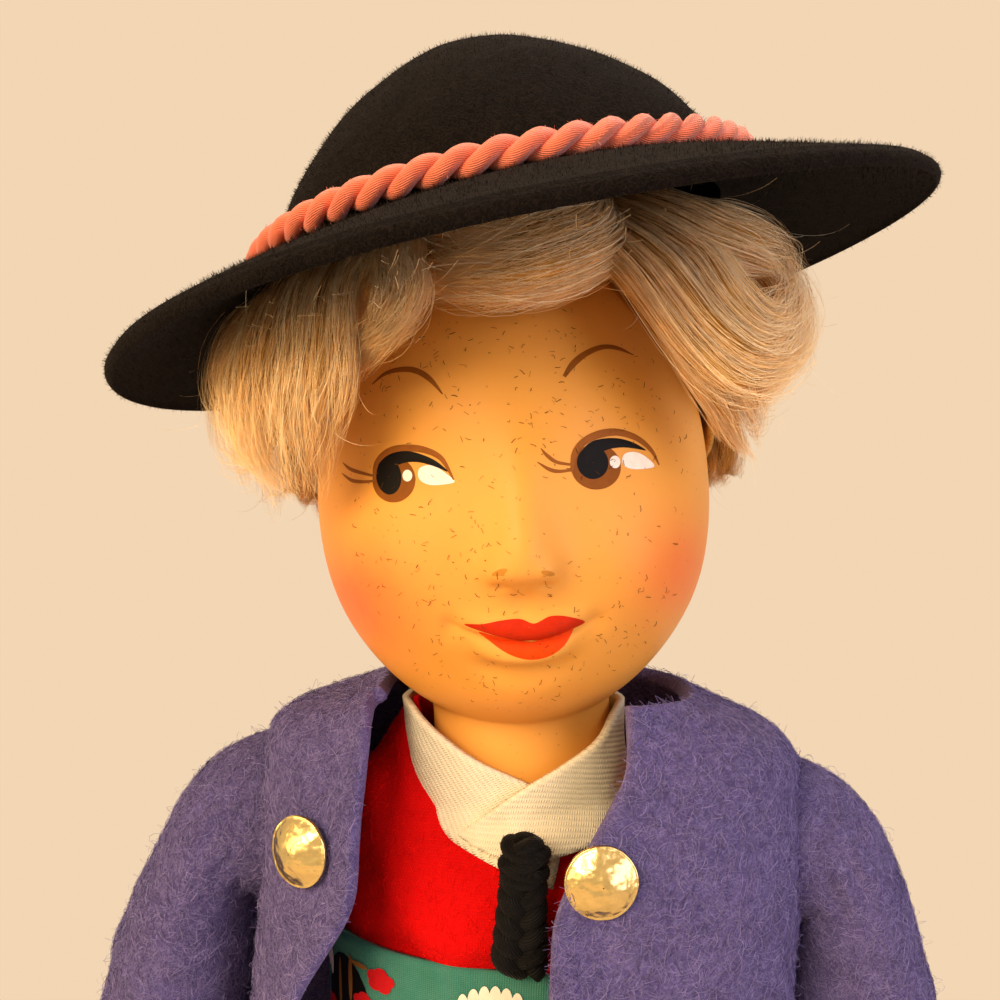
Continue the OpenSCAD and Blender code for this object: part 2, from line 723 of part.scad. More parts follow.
module head_shell() {
    color("#eac39c")
        difference() {
            union() {
                head_frame()
                    head_form();
                neck_frame()
                    rotate_extrude()
                        polygon(concat(
                            [[0, -neck_ball]],
                            [for (i = [1:8]) let (t = -90 + 90 * i / 8) [neck_ball * cos(t), neck_ball * sin(t)]],
                            [[neck_radius, neck_taper], [neck_radius, neck_top], [0, neck_top]]));
            }
            neck_frame() {
                head_cavity();
                translate([0, 0, -neck_ball - seam_gap])
                    cylinder(r = bore_radius + seam_gap, h = bore_length);
            }
        }
}

// Turned peg glued into the neck, with the knob that is held in the torso
module neck_peg() {
    top = bore_length - neck_ball - head_wall;
    color("#c79a63")
        neck_frame()
            rotate_extrude()
                polygon([
                    [0, -neck_ball - neck_shank - neck_knob_length],
                    [knob_radius, -neck_ball - neck_shank - neck_knob_length],
                    [knob_radius, -neck_ball - neck_shank],
                    [peg_radius, -neck_ball - neck_shank],
                    [peg_radius, -neck_ball],
                    [bore_radius, -neck_ball + 2 * joint_gap],
                    [bore_radius, top],
                    [0, top]]);
}

// Wig: a cloth cap and four masses of hair that end under the brim
part_gap = 0.9;
brim_curl = 1.2;
function skull_reach(lon, w, over = 0) =
    sqrt(max(0, 1 - pow(w / ((w > 0 ? skull_rise : chin_drop) + over), 2)))
    / sqrt(pow(sin(lon) / (head_x + over), 2) + pow(cos(lon) / (head_y + over), 2));
function turn_from_front(lon) = abs(lon > 180 ? lon - 360 : lon);
function hair_edge(lon) =
    let (a = turn_from_front(lon))
    mix(mix(hairline_front, hairline_side, ease01((a - 36) / 26)), hairline_back, ease01((a - 80) / 90));
wig_seat = hat_felt_thickness * 0.6 + seam_gap;
function brim_fall(reach) =
    brim_droop * pow(max(0, reach - crown_radius) / (brim_radius - crown_radius), brim_curl);
function under_brim(u, v) =
    hat_rise - wig_seat + tan(hat_roll) * (u - hat_shift) + tan(hat_pitch) / cos(hat_roll) * (v - hat_back)
    - brim_fall(norm([u - hat_shift, v - hat_back]));
function hair_depth(lon) =
    let (side = sin(lon) > 0 ? left_thickness : right_thickness)
    pow(max(0, cos(lon)), 2) * fringe_thickness + pow(min(0, cos(lon)), 2) * back_thickness
    + pow(sin(lon), 2) * side + lock_depth * cos(lon * lock_count);
function hair_swell(s) = s < 0.5 ? sqrt(1 - pow(1 - 2 * s, 2)) : 1 - 0.28 * pow(2 * s - 1, 2);
wig_rows = 7;
cap_out = wig_ease + cap_thickness;
wig_in = cap_out + wig_ease;
hair_least = 0.8;
hair_top = 0.86;
// Section of the hair in the plane of one longitude, outer face up and inner face down
function hair_section(lon) =
    let (low = hair_edge(lon))
    let (mid = skull_reach(lon, (low + under_brim(0, 0)) / 2))
    let (reach = mid + wig_in + hair_depth(lon) * hair_swell(1))
    let (high = under_brim(reach * sin(lon), -reach * cos(lon)))
    let (near = skull_reach(lon, min(high, skull_rise * hair_top), wig_in))
    let (high_in = min(under_brim(near * sin(lon), -near * cos(lon)), skull_rise * hair_top))
    concat(
        [for (j = [0:wig_rows])
            let (s = j / wig_rows, w = mix(low, high, s))
            let (base = mix(skull_reach(lon, low), mid, ease01(2 * s)))
            let (r = base + wig_in + max(hair_least, hair_depth(lon) * hair_swell(s)))
            [r * sin(lon), -r * cos(lon), w]],
        [for (j = [wig_rows:-1:0])
            let (w = mix(low, high_in, j / wig_rows))
            let (r = skull_reach(lon, w, wig_in))
            [r * sin(lon), -r * cos(lon), w]]);
module hair_mass(from, to, steps) {
    inset = part_gap / 2;
    head_frame()
        strip_skin(flip([for (i = [0:steps]) hair_section(mix(from + inset, to - inset, i / steps))]));
}

cap_rows = 10;
cap_sides = 30;
cap_top = 0.985;
function cap_ring(k, offset) =
    [for (i = [0:cap_sides - 1])
        let (lon = 360 * i / cap_sides)
        let (w = mix(hair_edge(lon) + hair_least, (skull_rise + offset) * cap_top, k))
        let (r = skull_reach(lon, w, offset))
        [r * sin(lon), -r * cos(lon), w]];
function cap_step(j) = sin(90 * j / cap_rows);
module wig_cap() {
    color("#8a7a5c")
        head_frame()
            skin(concat(
                [for (j = [cap_rows:-1:0]) cap_ring(cap_step(j), wig_ease)],
                [for (j = [0:cap_rows]) cap_ring(cap_step(j), cap_out)]));
}

fringe_half = 48;
back_from = 128;
module wig_fringe() {
    color("#dcb878")
        hair_mass(-fringe_half, fringe_half, 14);
}

module wig_left() {
    color("#d6b070")
        hair_mass(fringe_half, back_from, 12);
}

module wig_right() {
    color("#d6b070")
        hair_mass(360 - back_from, 360 - fringe_half, 12);
}

module wig_back() {
    color("#cda566")
        hair_mass(back_from, 360 - back_from, 14);
}

// Hat: one blocked piece of felt, a round crown and a drooping brim
crown_steps = 12;
brim_steps = 5;
crown_form = 1.6;
crown_fall = 0.6;
function crown_reach(k, radius) = radius * pow(1 - pow(k, crown_form), crown_fall);
function crown_line(radius, height) =
    [for (i = [0:crown_steps]) let (k = sin(90 * i / crown_steps)) [crown_reach(k, radius), height * k]];
module hat_felt() {
    inner = crown_radius - hat_felt_thickness;
    brim_tip = brim_radius - hat_felt_thickness * 0.3;
    color("#1d1b20")
        hat_frame()
            rotate_extrude($fn = 72)
                polygon(concat(
                    [[inner, 0]],
                    [for (i = [1:brim_steps])
                        let (r = mix(crown_radius, brim_tip, i / brim_steps))
                        [r, -brim_fall(r)]],
                    [[brim_radius, hat_felt_thickness * 0.5 - brim_droop]],
                    [for (i = [brim_steps:-1:1])
                        let (r = mix(crown_radius, brim_tip, i / brim_steps))
                        [r, hat_felt_thickness - brim_fall(r)]],
                    [for (p = crown_line(crown_radius, crown_height - hat_felt_thickness))
                        [p[0], p[1] + hat_felt_thickness]],
                    flip([for (p = crown_line(inner, crown_height - 2 * hat_felt_thickness))
                        [p[0], p[1] + hat_felt_thickness]])));
}

// Cord round the foot of the crown
module hat_cord() {
    color("#d9666a")
        hat_frame()
            translate([0, 0, hat_felt_thickness + cord_radius])
                rotate_extrude($fn = 72)
                    translate([crown_radius + cord_radius + seam_gap, 0])
                        circle(r = cord_radius, $fn = 24);
}

// Arm: rows along its length of place, angle, and half sizes
arm_root_x = jacket_x - shoulder_x + joint_gap;
arm_reach = arm_length;
arm_spread = arm_length / 6;
arm_half = shoulder_ball * 0.88;
arm_rows = [
    [0, 0, 0, 90, arm_half * 0.79, arm_half * 0.79],
    [0.1, arm_root_x - arm_spread * 0.01, -arm_reach * 0.008, 76, arm_half * 0.9, arm_half * 0.94],
    [0.2, arm_root_x + arm_spread * 0.42, -arm_reach * 0.05, 50, arm_half * 0.82, arm_half * 0.92],
    [0.32, arm_root_x + arm_spread * 0.6, -arm_reach * 0.165, 26, arm_half * 0.86, arm_half * 0.98],
    [0.48, arm_root_x + arm_spread * 0.76, -arm_reach * 0.31, 11, arm_half * 0.9, arm_half * 0.98],
    [0.64, arm_root_x + arm_spread * 0.88, -arm_reach * 0.5, 5, arm_half * 0.81, arm_half * 0.9],
    [0.78, arm_root_x + arm_spread * 0.95, -arm_reach * 0.69, 4, arm_half * 0.66, arm_half * 0.72],
    [0.84, arm_root_x + arm_spread * 0.97, -arm_reach * 0.77, 3, arm_half * 0.59, arm_half * 0.83],
    [0.93, arm_root_x + arm_spread * 0.99, -arm_reach * 0.88, 2, arm_half * 0.52, arm_half * 0.94],
    [1, arm_root_x + arm_spread, -arm_reach * 0.985, 0, arm_half * 0.33, arm_half * 0.63]];
arm_steps = 18;
thumb_sides = 12;
thumb_rows = [
    [0, -0.13, -0.775, 0.37, -0.57],
    [0.5, -0.24, -0.85, 0.33, -1.03],
    [1, -0.35, -0.91, 0.2, -1.18]];
module arm(side) {
    left_and_right(side)
        translate([shoulder_x, 0, shoulder_height])
            difference() {
                union() {
                    sphere(r = shoulder_ball);
                    skin([for (i = [0:arm_steps])
                        let (r = curve(arm_rows, i / arm_steps))
                        limb_ring(r[0], 0, r[1], r[2], r[3], r[4], limb_sides)]);
                    skin([for (i = [0:4])
                        let (r = curve(thumb_rows, i / 4), wide = arm_half * r[2])
                        limb_ring(arm_root_x + arm_spread * 0.97 + arm_half * r[0], arm_half * r[3],
                            arm_reach * r[1], 0, wide, wide, thumb_sides)]);
                }
                rotate([0, -90, 0])
                    cylinder(r = peg_radius + seam_gap, h = shoulder_ball + 1);
            }
}

module arm_left() {
    color("#eac39c")
        arm(1);
}

module arm_right() {
    color("#eac39c")
        arm(-1);
}

// Turned peg glued into the shoulder ball, with its knob held in the torso
module arm_peg(side) {
    left_and_right(side)
        translate([0, 0, shoulder_height])
            rotate([0, 90, 0]) {
                translate([0, 0, arm_knob_inner])
                    cylinder(r = knob_radius, h = knob_length);
                translate([0, 0, arm_knob_inner])
                    cylinder(r = peg_radius, h = shoulder_x - arm_knob_inner - seam_gap);
            }
}

module arm_peg_left() {
    color("#c79a63")
        arm_peg(1);
}

module arm_peg_right() {
    color("#c79a63")
        arm_peg(-1);
}

// Sleeve: a felt tube whose round head turns in the armhole
sleeve_in = chest_x + waistcoat_out - shoulder_x - seam_gap;
cuff_half = cuff_width / 2;
sleeve_rows = [
    [0, sleeve_in, 0, 90, sleeve_root, sleeve_root],
    [0.12, arm_root_x, 0, 90, sleeve_root, sleeve_root],
    [0.26, arm_root_x + arm_spread * 0.385, -sleeve_length * 0.07, 52, sleeve_root * 0.82, sleeve_root * 1.02],
    [0.42, arm_root_x + arm_spread * 0.615, -sleeve_length * 0.262, 27, sleeve_root * 0.85, sleeve_root * 1.03],
    [0.62, arm_root_x + arm_spread * 0.78, -sleeve_length * 0.47, 11, sleeve_root * 0.9, sleeve_root * 1.03],
    [0.82, arm_root_x + arm_spread * 0.88, -sleeve_length * 0.74, 5, cuff_half, sleeve_root],
    [1, arm_root_x + arm_spread * 0.95, -sleeve_length, 4, cuff_half, sleeve_root]];
sleeve_stops = [0, 0.12, 0.19, 0.26, 0.34, 0.42, 0.52, 0.62, 0.72, 0.82, 0.91, 1];
function sleeve_ring(k, inset) =
    let (r = curve(sleeve_rows, k))
    limb_ring(r[0], 0, r[1], r[2], r[3] - inset, r[4] - inset, cloth_sides);
module sleeve(side) {
    left_and_right(side)
        translate([shoulder_x, 0, shoulder_height])
            skin(concat(
                [for (k = sleeve_stops) sleeve_ring(k, 0)],
                flip([for (k = sleeve_stops) sleeve_ring(k, sleeve_felt)])), true);
}

module sleeve_left() {
    color("#4f4fa6")
        sleeve(1);
}

module sleeve_right() {
    color("#4f4fa6")
        sleeve(-1);
}

// Leg: rows of height, shift to the back, and half sizes, with the foot in one
foot_x = shoe_width / 2 - upper_thickness - stocking_thickness - 2 * seam_gap - 0.3;
foot_y = shoe_length / 2 - upper_thickness - stocking_thickness - 2 * seam_gap - 1.2;
foot_shift = 8.6 - shoe_length / 2;
foot_low = sole_thickness + stocking_thickness + 2 * seam_gap;
leg_half = hip_ball * 0.92;
ankle_y = leg_half * 0.74;
leg_rows = [
    [foot_low, foot_shift, foot_x * 0.85, foot_y * 0.92],
    [foot_low + shoe_height * 0.144, foot_shift, foot_x, foot_y],
    [foot_low + shoe_height * 0.32, mix(foot_shift, 0, 0.24), foot_x * 0.95, mix(foot_y, ankle_y, 0.2)],
    [foot_low + shoe_height * 0.53, mix(foot_shift, 0, 0.66), foot_x * 0.87, mix(foot_y, ankle_y, 0.62)],
    [shoe_height * 0.904, leg_half * 0.07, leg_half * 0.58, leg_half * 0.7],
    [shoe_height * 1.21, leg_half * 0.1, leg_half * 0.545, leg_half * 0.6],
    [hip_height * 0.31, leg_half * 0.14, leg_half * 0.67, leg_half * 0.7],
    [hip_height * 0.47, leg_half * 0.16, leg_half * 0.81, leg_half * 0.84],
    [hip_height * 0.6, leg_half * 0.05, leg_half * 0.77, leg_half * 0.81],
    [hip_height * 0.74, 0, leg_half * 0.9, leg_half * 0.93],
    [hip_height * 0.9, 0, leg_half, leg_half * 1.02],
    [hip_height, 0, leg_half * 0.95, leg_half * 0.95]];
function leg_ring(z, offset, sides) =
    let (r = curve(leg_rows, z))
    oval(hip_x, r[0], z, r[1] + offset, r[2] + offset, sides);

// Breeches: the seat goes over the hips to an oblique crease at the groin
groin_front = 10;
groin_back = 0;
breeches_half = breeches_width / 2;
crease_half = hip_ball + breeches_thickness + 2 * cloth_ease;
crease_slope = (groin_front - groin_back) / (2 * crease_half);
crease_height = hip_height - (groin_front + groin_back) / 2;
seat_rows = [
    [hip_height - groin_front - 3, hips_x + 0.6, hips_y * 0.92],
    [hip_height, hips_x + 1.4, hips_y + 1.6],
    [hip_height + seat_rise, hips_x + 1.6, hips_y + 1.8],
    [mix(hip_height + seat_rise, belt_bottom, 0.5), hips_x + 0.9, hips_y + 1.4],
    [belt_bottom - 2 - cloth_ease, waist_x + waistcoat_out, waist_y + waistcoat_out]];
seat_low = seat_rows[0][0];
seat_high = seat_rows[len(seat_rows) - 1][0];
seat_steps = 8;
module breeches_seat() {
    ball = hip_ball + joint_gap + seam_gap;
    color("#26242a")
        difference() {
            skin([for (z = torso_levels(seat_low, seat_high, seat_steps))
                let (half = curve(seat_rows, z))
                oval(0, 0, z, half[0], half[1], cloth_sides)]);
            skin([for (z = torso_levels(torso_low - joint_gap, seat_high + 1, 6))
                torso_ring(max(z, torso_low), cloth_ease, torso_sides)
                ]);
            for (side = [-1, 1])
                left_and_right(side) {
                    translate([hip_x, 0, hip_height])
                        sphere(r = ball);
                    translate([hip_x, 0, seat_low - 1])
                        cylinder(r = ball, h = hip_height - seat_low + 1);
                    translate([0, 0, hip_height])
                        rotate([0, 90, 0])
                            cylinder(r = axle_diameter + joint_gap, h = axle_reach + axle_head + joint_gap);
                }
            translate([-tongue_width / 2 - seam_gap, 0, hip_height])
                rotate([0, 90, 0])
                    cylinder(d = tongue_depth + 2 * seam_gap, h = tongue_width + 2 * seam_gap);
            translate([-tongue_width / 2 - seam_gap, -tongue_depth / 2 - seam_gap, hip_height])
                cube([tongue_width + 2 * seam_gap, tongue_depth + 2 * seam_gap, seat_rise]);
            translate([0, 0, crease_height])
                rotate([atan(crease_slope), 0, 0])
                    translate([-hip_width, -hip_width, -hip_width])
                        cube([2 * hip_width, 2 * hip_width, hip_width]);
        }
}

// Breeches leg: gathered in above the knee
knee = curve(leg_rows, breeches_hem);
knee_over = seam_gap + stocking_thickness + 2 * cloth_ease + breeches_thickness;
knee_x = knee[1] + knee_over;
knee_y = knee[2] + knee_over;
leg_tube_rows = [
    [breeches_hem, knee_x, knee_y, 0, knee[0]],
    [breeches_hem + 2, knee_x + 0.1, knee_y + 0.1, 0, knee[0]],
    [breeches_hem + 6, breeches_half - 0.1, breeches_half + 0.4, 0, 0],
    [mix(breeches_hem, crease_height, 0.6), breeches_half, breeches_half + 0.5, crease_slope * 0.4, 0],
    [crease_height - cloth_ease - seam_gap, breeches_half - 0.1, breeches_half + 0.4, crease_slope, 0]];
leg_tube_stops = [0, 0.07, 0.15, 0.24, 0.42, 0.6, 0.8, 1];
function leg_tube_ring(k, inset) =
    let (z = mix(breeches_hem, leg_tube_rows[4][0], k), half = curve(leg_tube_rows, z))
    oval(hip_x, half[3], z, half[0] - inset, half[1] - inset, cloth_sides, half[2]);
module breeches_leg(side) {
    left_and_right(side)
        skin(concat(
            [for (k = leg_tube_stops) leg_tube_ring(k, 0)],
            flip([for (k = leg_tube_stops) leg_tube_ring(k, breeches_thickness)])), true);
}

module breeches_leg_left() {
    color("#26242a")
        breeches_leg(1);
}

module breeches_leg_right() {
    color("#26242a")
        breeches_leg(-1);
}

// Leg with its foot in one piece
leg_levels = concat([for (i = [0:5]) leg_rows[i][0]], torso_levels(hip_height * 0.2, hip_height, 11));
module leg(side) {
    left_and_right(side)
        difference() {
            union() {
                translate([hip_x, 0, hip_height])
                    sphere(r = hip_ball);
                skin([for (z = leg_levels) leg_ring(z, 0, limb_sides)]);
            }
            translate([0, 0, hip_height])
                rotate([0, 90, 0])
                    cylinder(r = axle_diameter / 2 + joint_gap, h = 2 * hip_x);
        }
}

module leg_left() {
    color("#eac39c")
        leg(1);
}

module leg_right() {
    color("#eac39c")
        leg(-1);
}

// Stocking: knitted, close to the leg and foot
stocking_levels = concat([for (i = [0:5]) leg_rows[i][0]], torso_levels(hip_height * 0.2, stocking_top, 7));
function stocking_ring(i, offset) =
    let (z = stocking_levels[i])
    [for (p = leg_ring(z, offset, limb_sides)) [p[0], p[1], i == 0 ? p[2] - offset : p[2]]];
module stocking(side) {
    last = len(stocking_levels) - 1;
    left_and_right(side)
        skin(concat(
            [for (i = [0:last]) stocking_ring(i, seam_gap + stocking_thickness)],
            [for (i = [last:-1:0]) stocking_ring(i, seam_gap)]));
}

module stocking_left() {
    color("#e6dfcf")
        stocking(1);
}

module stocking_right() {
    color("#e6dfcf")
        stocking(-1);
}

// Shoe upper and its sole
shoe_in = stocking_thickness + 2 * seam_gap;
shoe_foot_rise = shoe_height * 0.1;
shoe_stops = [foot_low + shoe_foot_rise, foot_low + shoe_height * 0.19, foot_low + shoe_height * 0.32,
    foot_low + shoe_height * 0.43, foot_low + shoe_height * 0.53, shoe_height * 0.904, shoe_height];
function shoe_ring(z, offset) = leg_ring(z, offset, cloth_sides);
function shoe_foot(offset) =
    [for (p = leg_ring(foot_low + shoe_foot_rise, offset, cloth_sides)) [p[0], p[1], sole_thickness + seam_gap]];
module shoe(side) {
    outer = shoe_in + seam_gap + upper_thickness;
    left_and_right(side)
        skin(concat(
            [shoe_foot(outer)],
            [for (z = shoe_stops) shoe_ring(z, outer)],
            flip([for (z = shoe_stops) shoe_ring(z, shoe_in + seam_gap)]),
            [shoe_foot(shoe_in + seam_gap)]), true);
}

module shoe_left() {
    color("#1b1a1c")
        shoe(1);
}

module shoe_right() {
    color("#1b1a1c")
        shoe(-1);
}

// Sole outline: broad at the ball of the foot and narrower at the heel
sole_sides = 40;
sole_waist = 0.1;
module sole(side) {
    left_and_right(side)
        translate([hip_x, foot_shift, 0])
            linear_extrude(height = sole_thickness)
                polygon([for (i = [0:sole_sides - 1])
                    let (t = 360 * i / sole_sides)
                    [shoe_width / 2 * cos(t) * (1 - sole_waist * sin(t)), shoe_length / 2 * sin(t)]]);
}

module sole_left() {
    color("#3a2a20")
        sole(1);
}

module sole_right() {
    color("#3a2a20")
        sole(-1);
}

torso_front();
torso_back();
hip_axle();
waistcoat();
collar_tape();
tie();
belt_ribbon();
jacket_body();
button_right();
button_left();
breeches_seat();
head_shell();
neck_peg();
wig_cap();
wig_fringe();
wig_left();
wig_right();
wig_back();
hat_felt();
hat_cord();
arm_left();
arm_peg_left();
sleeve_left();
arm_right();
arm_peg_right();
sleeve_right();
leg_left();
breeches_leg_left();
stocking_left();
shoe_left();
sole_left();
leg_right();
breeches_leg_right();
stocking_right();
shoe_right();
sole_right();
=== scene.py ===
import json
import math

import bpy
import numpy as np
from mathutils import Matrix, Vector
from mathutils.bvhtree import BVHTree


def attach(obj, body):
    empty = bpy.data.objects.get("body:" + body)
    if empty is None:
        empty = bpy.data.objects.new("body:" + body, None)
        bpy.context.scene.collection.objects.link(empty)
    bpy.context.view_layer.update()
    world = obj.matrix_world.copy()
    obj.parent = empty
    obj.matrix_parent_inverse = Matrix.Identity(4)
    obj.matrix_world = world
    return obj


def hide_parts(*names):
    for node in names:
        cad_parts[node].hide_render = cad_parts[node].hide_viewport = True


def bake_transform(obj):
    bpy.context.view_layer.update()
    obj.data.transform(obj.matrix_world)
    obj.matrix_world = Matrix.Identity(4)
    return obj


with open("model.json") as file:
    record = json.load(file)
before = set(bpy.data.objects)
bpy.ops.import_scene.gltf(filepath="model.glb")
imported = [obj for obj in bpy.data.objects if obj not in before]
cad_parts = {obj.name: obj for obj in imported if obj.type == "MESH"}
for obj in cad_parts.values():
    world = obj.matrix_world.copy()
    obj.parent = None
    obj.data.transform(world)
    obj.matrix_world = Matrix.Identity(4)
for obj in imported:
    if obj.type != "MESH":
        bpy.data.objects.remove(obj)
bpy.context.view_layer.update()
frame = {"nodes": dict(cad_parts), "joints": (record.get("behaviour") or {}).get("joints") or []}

bl_info = {
    "name": "Costume Doll",
    "version": (1, 0, 0),
    "blender": (4, 5, 0),
    "location": "3D View > Sidebar > Doll",
    "description": "Dresses the solids of a jointed costume doll with skin, hair, felt and trimmings",
    "category": "Object",
}

MM = 0.001
SIDES = (("left", 1), ("right", -1))

# Sizes that several pieces share, in millimetres
LEG_X = 8.2
LEG_TOP = 82
JACKET_Y = -0.8
JACKET_NECK = 5.6
RIBBON_LIFT = 1.8
# Power of the jacket's oval: 2 is an ellipse, and more is squarer
JACKET_SQUARE = 2.6


# Colours and properties


def linear(code):
    """An sRGB hex value as linear red, green, blue and alpha."""
    values = [int(code[i:i + 2], 16) / 255 for i in (1, 3, 5)]
    return [v / 12.92 if v <= 0.04045 else ((v + 0.055) / 1.055) ** 2.4 for v in values] + [1.0]


def size(millimetres, name, description):
    """A length property, kept in metres."""
    return bpy.props.FloatProperty(
        name=name, description=description, default=millimetres * MM, unit="LENGTH", precision=5)


def turn(degrees, name, description):
    """An angle property, kept in radians."""
    return bpy.props.FloatProperty(
        name=name, description=description, default=math.radians(degrees), subtype="ANGLE")


def amount(number, name, description):
    """A count property."""
    return bpy.props.IntProperty(name=name, description=description, default=number, min=0)


def tint(code, name, description):
    """A colour property from a hex value."""
    return bpy.props.FloatVectorProperty(
        name=name, description=description, default=linear(code), size=4, subtype="COLOR", min=0, max=1)


class DollHead(bpy.types.PropertyGroup):
    """Sizes of the head and the colours of its paint."""
    width: size(32.4, "Width", "Width of the head")
    depth: size(34.5, "Depth", "Depth of the head")
    skull_rise: size(24, "Skull rise", "Rise of the skull above the head's centre")
    chin_drop: size(19, "Chin drop", "Drop of the chin below the head's centre")
    rise: size(31.2, "Rise", "Distance from the neck ball to the head's centre")
    forward: size(1.5, "Forward", "Distance of the head's centre in front of the neck's axis")
    lean: turn(5.2, "Lean", "Lean of the neck and head to the doll's right")
    face_turn: turn(1.2, "Turn", "Turn of the face to the doll's left at rest")
    neck_diameter: size(15, "Neck", "Diameter of the neck")
    nose_height: size(2.2, "Nose", "Height of the nose above the face")
    lip_height: size(0.75, "Lips", "Height of the lips above the face")
    skin: tint("#eca03a", "Skin", "Painted composition")
    blush: tint("#ea7038", "Blush", "Sprayed colour of the cheeks")
    brow: tint("#96561a", "Brows", "Brown line paint of the brows and lids")
    iris: tint("#8a4d10", "Iris", "Brown paint of the iris")
    pupil: tint("#070403", "Pupil", "Black paint of the pupils")
    white: tint("#fdf4e6", "Eye white", "White paint of the eyes")
    upper_lip: tint("#c42804", "Upper lip", "Red paint of the upper lip")
    lower_lip: tint("#f04404", "Lower lip", "Orange-red paint of the lower lip")
    lint_count: amount(640, "Lint", "Shed fibres on the face")


class DollHat(bpy.types.PropertyGroup):
    """Sizes and colours of the hat and its cord."""
    rise: size(20.8, "Rise", "Height of the crown's foot above the head's centre")
    roll: turn(11, "Roll", "Roll of the hat, its left side up")
    pitch: turn(-0.6, "Pitch", "Pitch of the hat, its front down when above zero")
    shift: size(0.5, "Shift", "Shift of the hat to the doll's left")
    back: size(2.2, "Back", "Shift of the hat to the back of the head")
    crown_diameter: size(39.5, "Crown", "Diameter of the crown at its foot")
    crown_height: size(17.8, "Crown height", "Height of the crown")
    brim_diameter: size(69, "Brim", "Diameter of the brim")
    brim_droop: size(5.2, "Droop", "Droop of the brim from the crown's foot to its edge")
    felt: size(1.3, "Felt", "Thickness of the hat's felt")
    cord_diameter: size(2.2, "Cord", "Diameter of the twisted cord")
    cord_turns: amount(25, "Cord turns", "Turns of the cord's two strands round the crown")
    pile_length: size(0.16, "Pile", "Length of the velour's pile")
    pile_count: amount(90000, "Pile count", "Number of pile fibres that are modelled")
    velour: tint("#060404", "Velour", "Black velour felt")
    cord: tint("#f2744c", "Cord", "Coral rayon cord")


class DollJacket(bpy.types.PropertyGroup):
    """Sizes and colours of the jacket, sleeves and buttons."""
    shoulder_edge: size(22.2, "Shoulder edge", "Distance of the shoulder's edge from the middle")
    depth: size(29, "Depth", "Depth of the jacket from front to back")
    hem_rise: size(15, "Hem", "Rise of the hem above the hip joints")
    hem_flare: size(1, "Flare", "Outward flare of the hem")
    right_edge: size(12.8, "Right edge", "Distance of the right front's edge from the middle")
    left_edge: size(1.4, "Left edge", "Distance of the left front's edge from the middle")
    felt: size(1.4, "Felt", "Thickness of the jacket's felt")
    armhole_radius: size(7.2, "Armhole", "Radius of the armholes")
    sleeve_root: size(6.8, "Sleeve head", "Radius of the sleeve where it enters the armhole")
    sleeve_length: size(37, "Sleeve", "Length of the sleeve below the shoulder joint")
    sleeve_felt: size(1.2, "Sleeve felt", "Thickness of the sleeve's felt")
    cuff_width: size(12.6, "Cuff", "Outer width of the sleeve at its cuff")
    arm_length: size(54, "Arm", "Length of the arm to the fingertips")
    button_diameter: size(5.4, "Button", "Diameter of the buttons")
    button_dome: size(1.9, "Button dome", "Height of a button's dome")
    fibre_length: size(1.2, "Fibre", "Length of the loose fibres of the felt")
    fibre_count: amount(80000, "Fibres", "Loose fibres on the jacket's body")
    sleeve_fibre_count: amount(38000, "Sleeve fibres", "Loose fibres on each sleeve")
    cloth: tint("#4e427a", "Felt", "Blue-violet wool felt")
    fibre: tint("#8d81b0", "Fibre", "Paler loose fibres of the felt")
    brass: tint("#ead08a", "Brass", "Stamped brass of the buttons")


class DollShirt(bpy.types.PropertyGroup):
    """Sizes and colours of the waistcoat, collar, tie and belt."""
    tape_width: size(6.4, "Tape", "Width of the collar's tape")
    tape_thickness: size(0.6, "Tape thickness", "Thickness of the collar's tape")
    yarn_diameter: size(1.15, "Yarn", "Diameter of the tie's yarn")
    belt_width: size(11.4, "Belt", "Width of the belt's ribbon")
    belt_rise: size(33, "Belt rise", "Rise of the belt's lower edge above the hip joints")
    red: tint("#dc0404", "Waistcoat", "Red cloth of the waistcoat")
    tape: tint("#fbebc8", "Tape", "Cream cotton tape")
    yarn: tint("#0b0908", "Yarn", "Black wool yarn")
    ribbon: tint("#1f7a64", "Ribbon", "Blue-green ground of the ribbon")
    flower: tint("#c4151a", "Flower", "Red flowers of the ribbon")
    stem: tint("#8a5a2a", "Stem", "Brown stems of the ribbon")
    blossom: tint("#efe6cf", "Blossom", "Cream blossoms of the ribbon")


class DollWig(bpy.types.PropertyGroup):
    """Sizes and colours of the mohair wig."""
    strand_width: size(0.05, "Strand", "Width of a modelled strand")
    strands_per_lock: amount(420, "Strands", "Strands of a lock")
    flyaway_count: amount(150, "Flyaways", "Loose hairs that leave each mass of the wig")
    light: tint("#fff2c8", "Light strands", "Palest mohair")
    dark: tint("#f0b04c", "Dark strands", "Deepest mohair")


class DollLegs(bpy.types.PropertyGroup):
    """Sizes and colours of the breeches, stockings and shoes."""
    breeches: tint("#242228", "Breeches", "Black felt")
    stocking: tint("#e9e1cf", "Stockings", "Cream knit")
    shoe: tint("#1a1718", "Shoes", "Blacked leather")
    sole: tint("#5a3d28", "Soles", "Tanned leather")


# Arithmetic for the forms, in millimetres


def ease(t):
    """A soft step from 0 to 1, while t goes from 0 to 1."""
    c = np.clip(t, 0, 1)
    return c * c * (3 - 2 * c)


def flow(rows, x):
    """Smooth values between the rows of a table, whose first column is the place."""
    rows = np.asarray(rows, float)
    x = np.atleast_1d(np.asarray(x, float))
    last = len(rows) - 1
    i = np.clip(np.searchsorted(rows[:, 0], x, side="right") - 1, 0, last - 1)
    a, b = rows[np.maximum(i - 1, 0), 1:], rows[i, 1:]
    c, d = rows[i + 1, 1:], rows[np.minimum(i + 2, last), 1:]
    t = ((x - rows[i, 0]) / (rows[i + 1, 0] - rows[i, 0]))[:, None]
    return 0.5 * (2 * b + (c - a) * t + (2 * a - 5 * b + 4 * c - d) * t ** 2
                  + (3 * b - a - 3 * c + d) * t ** 3)


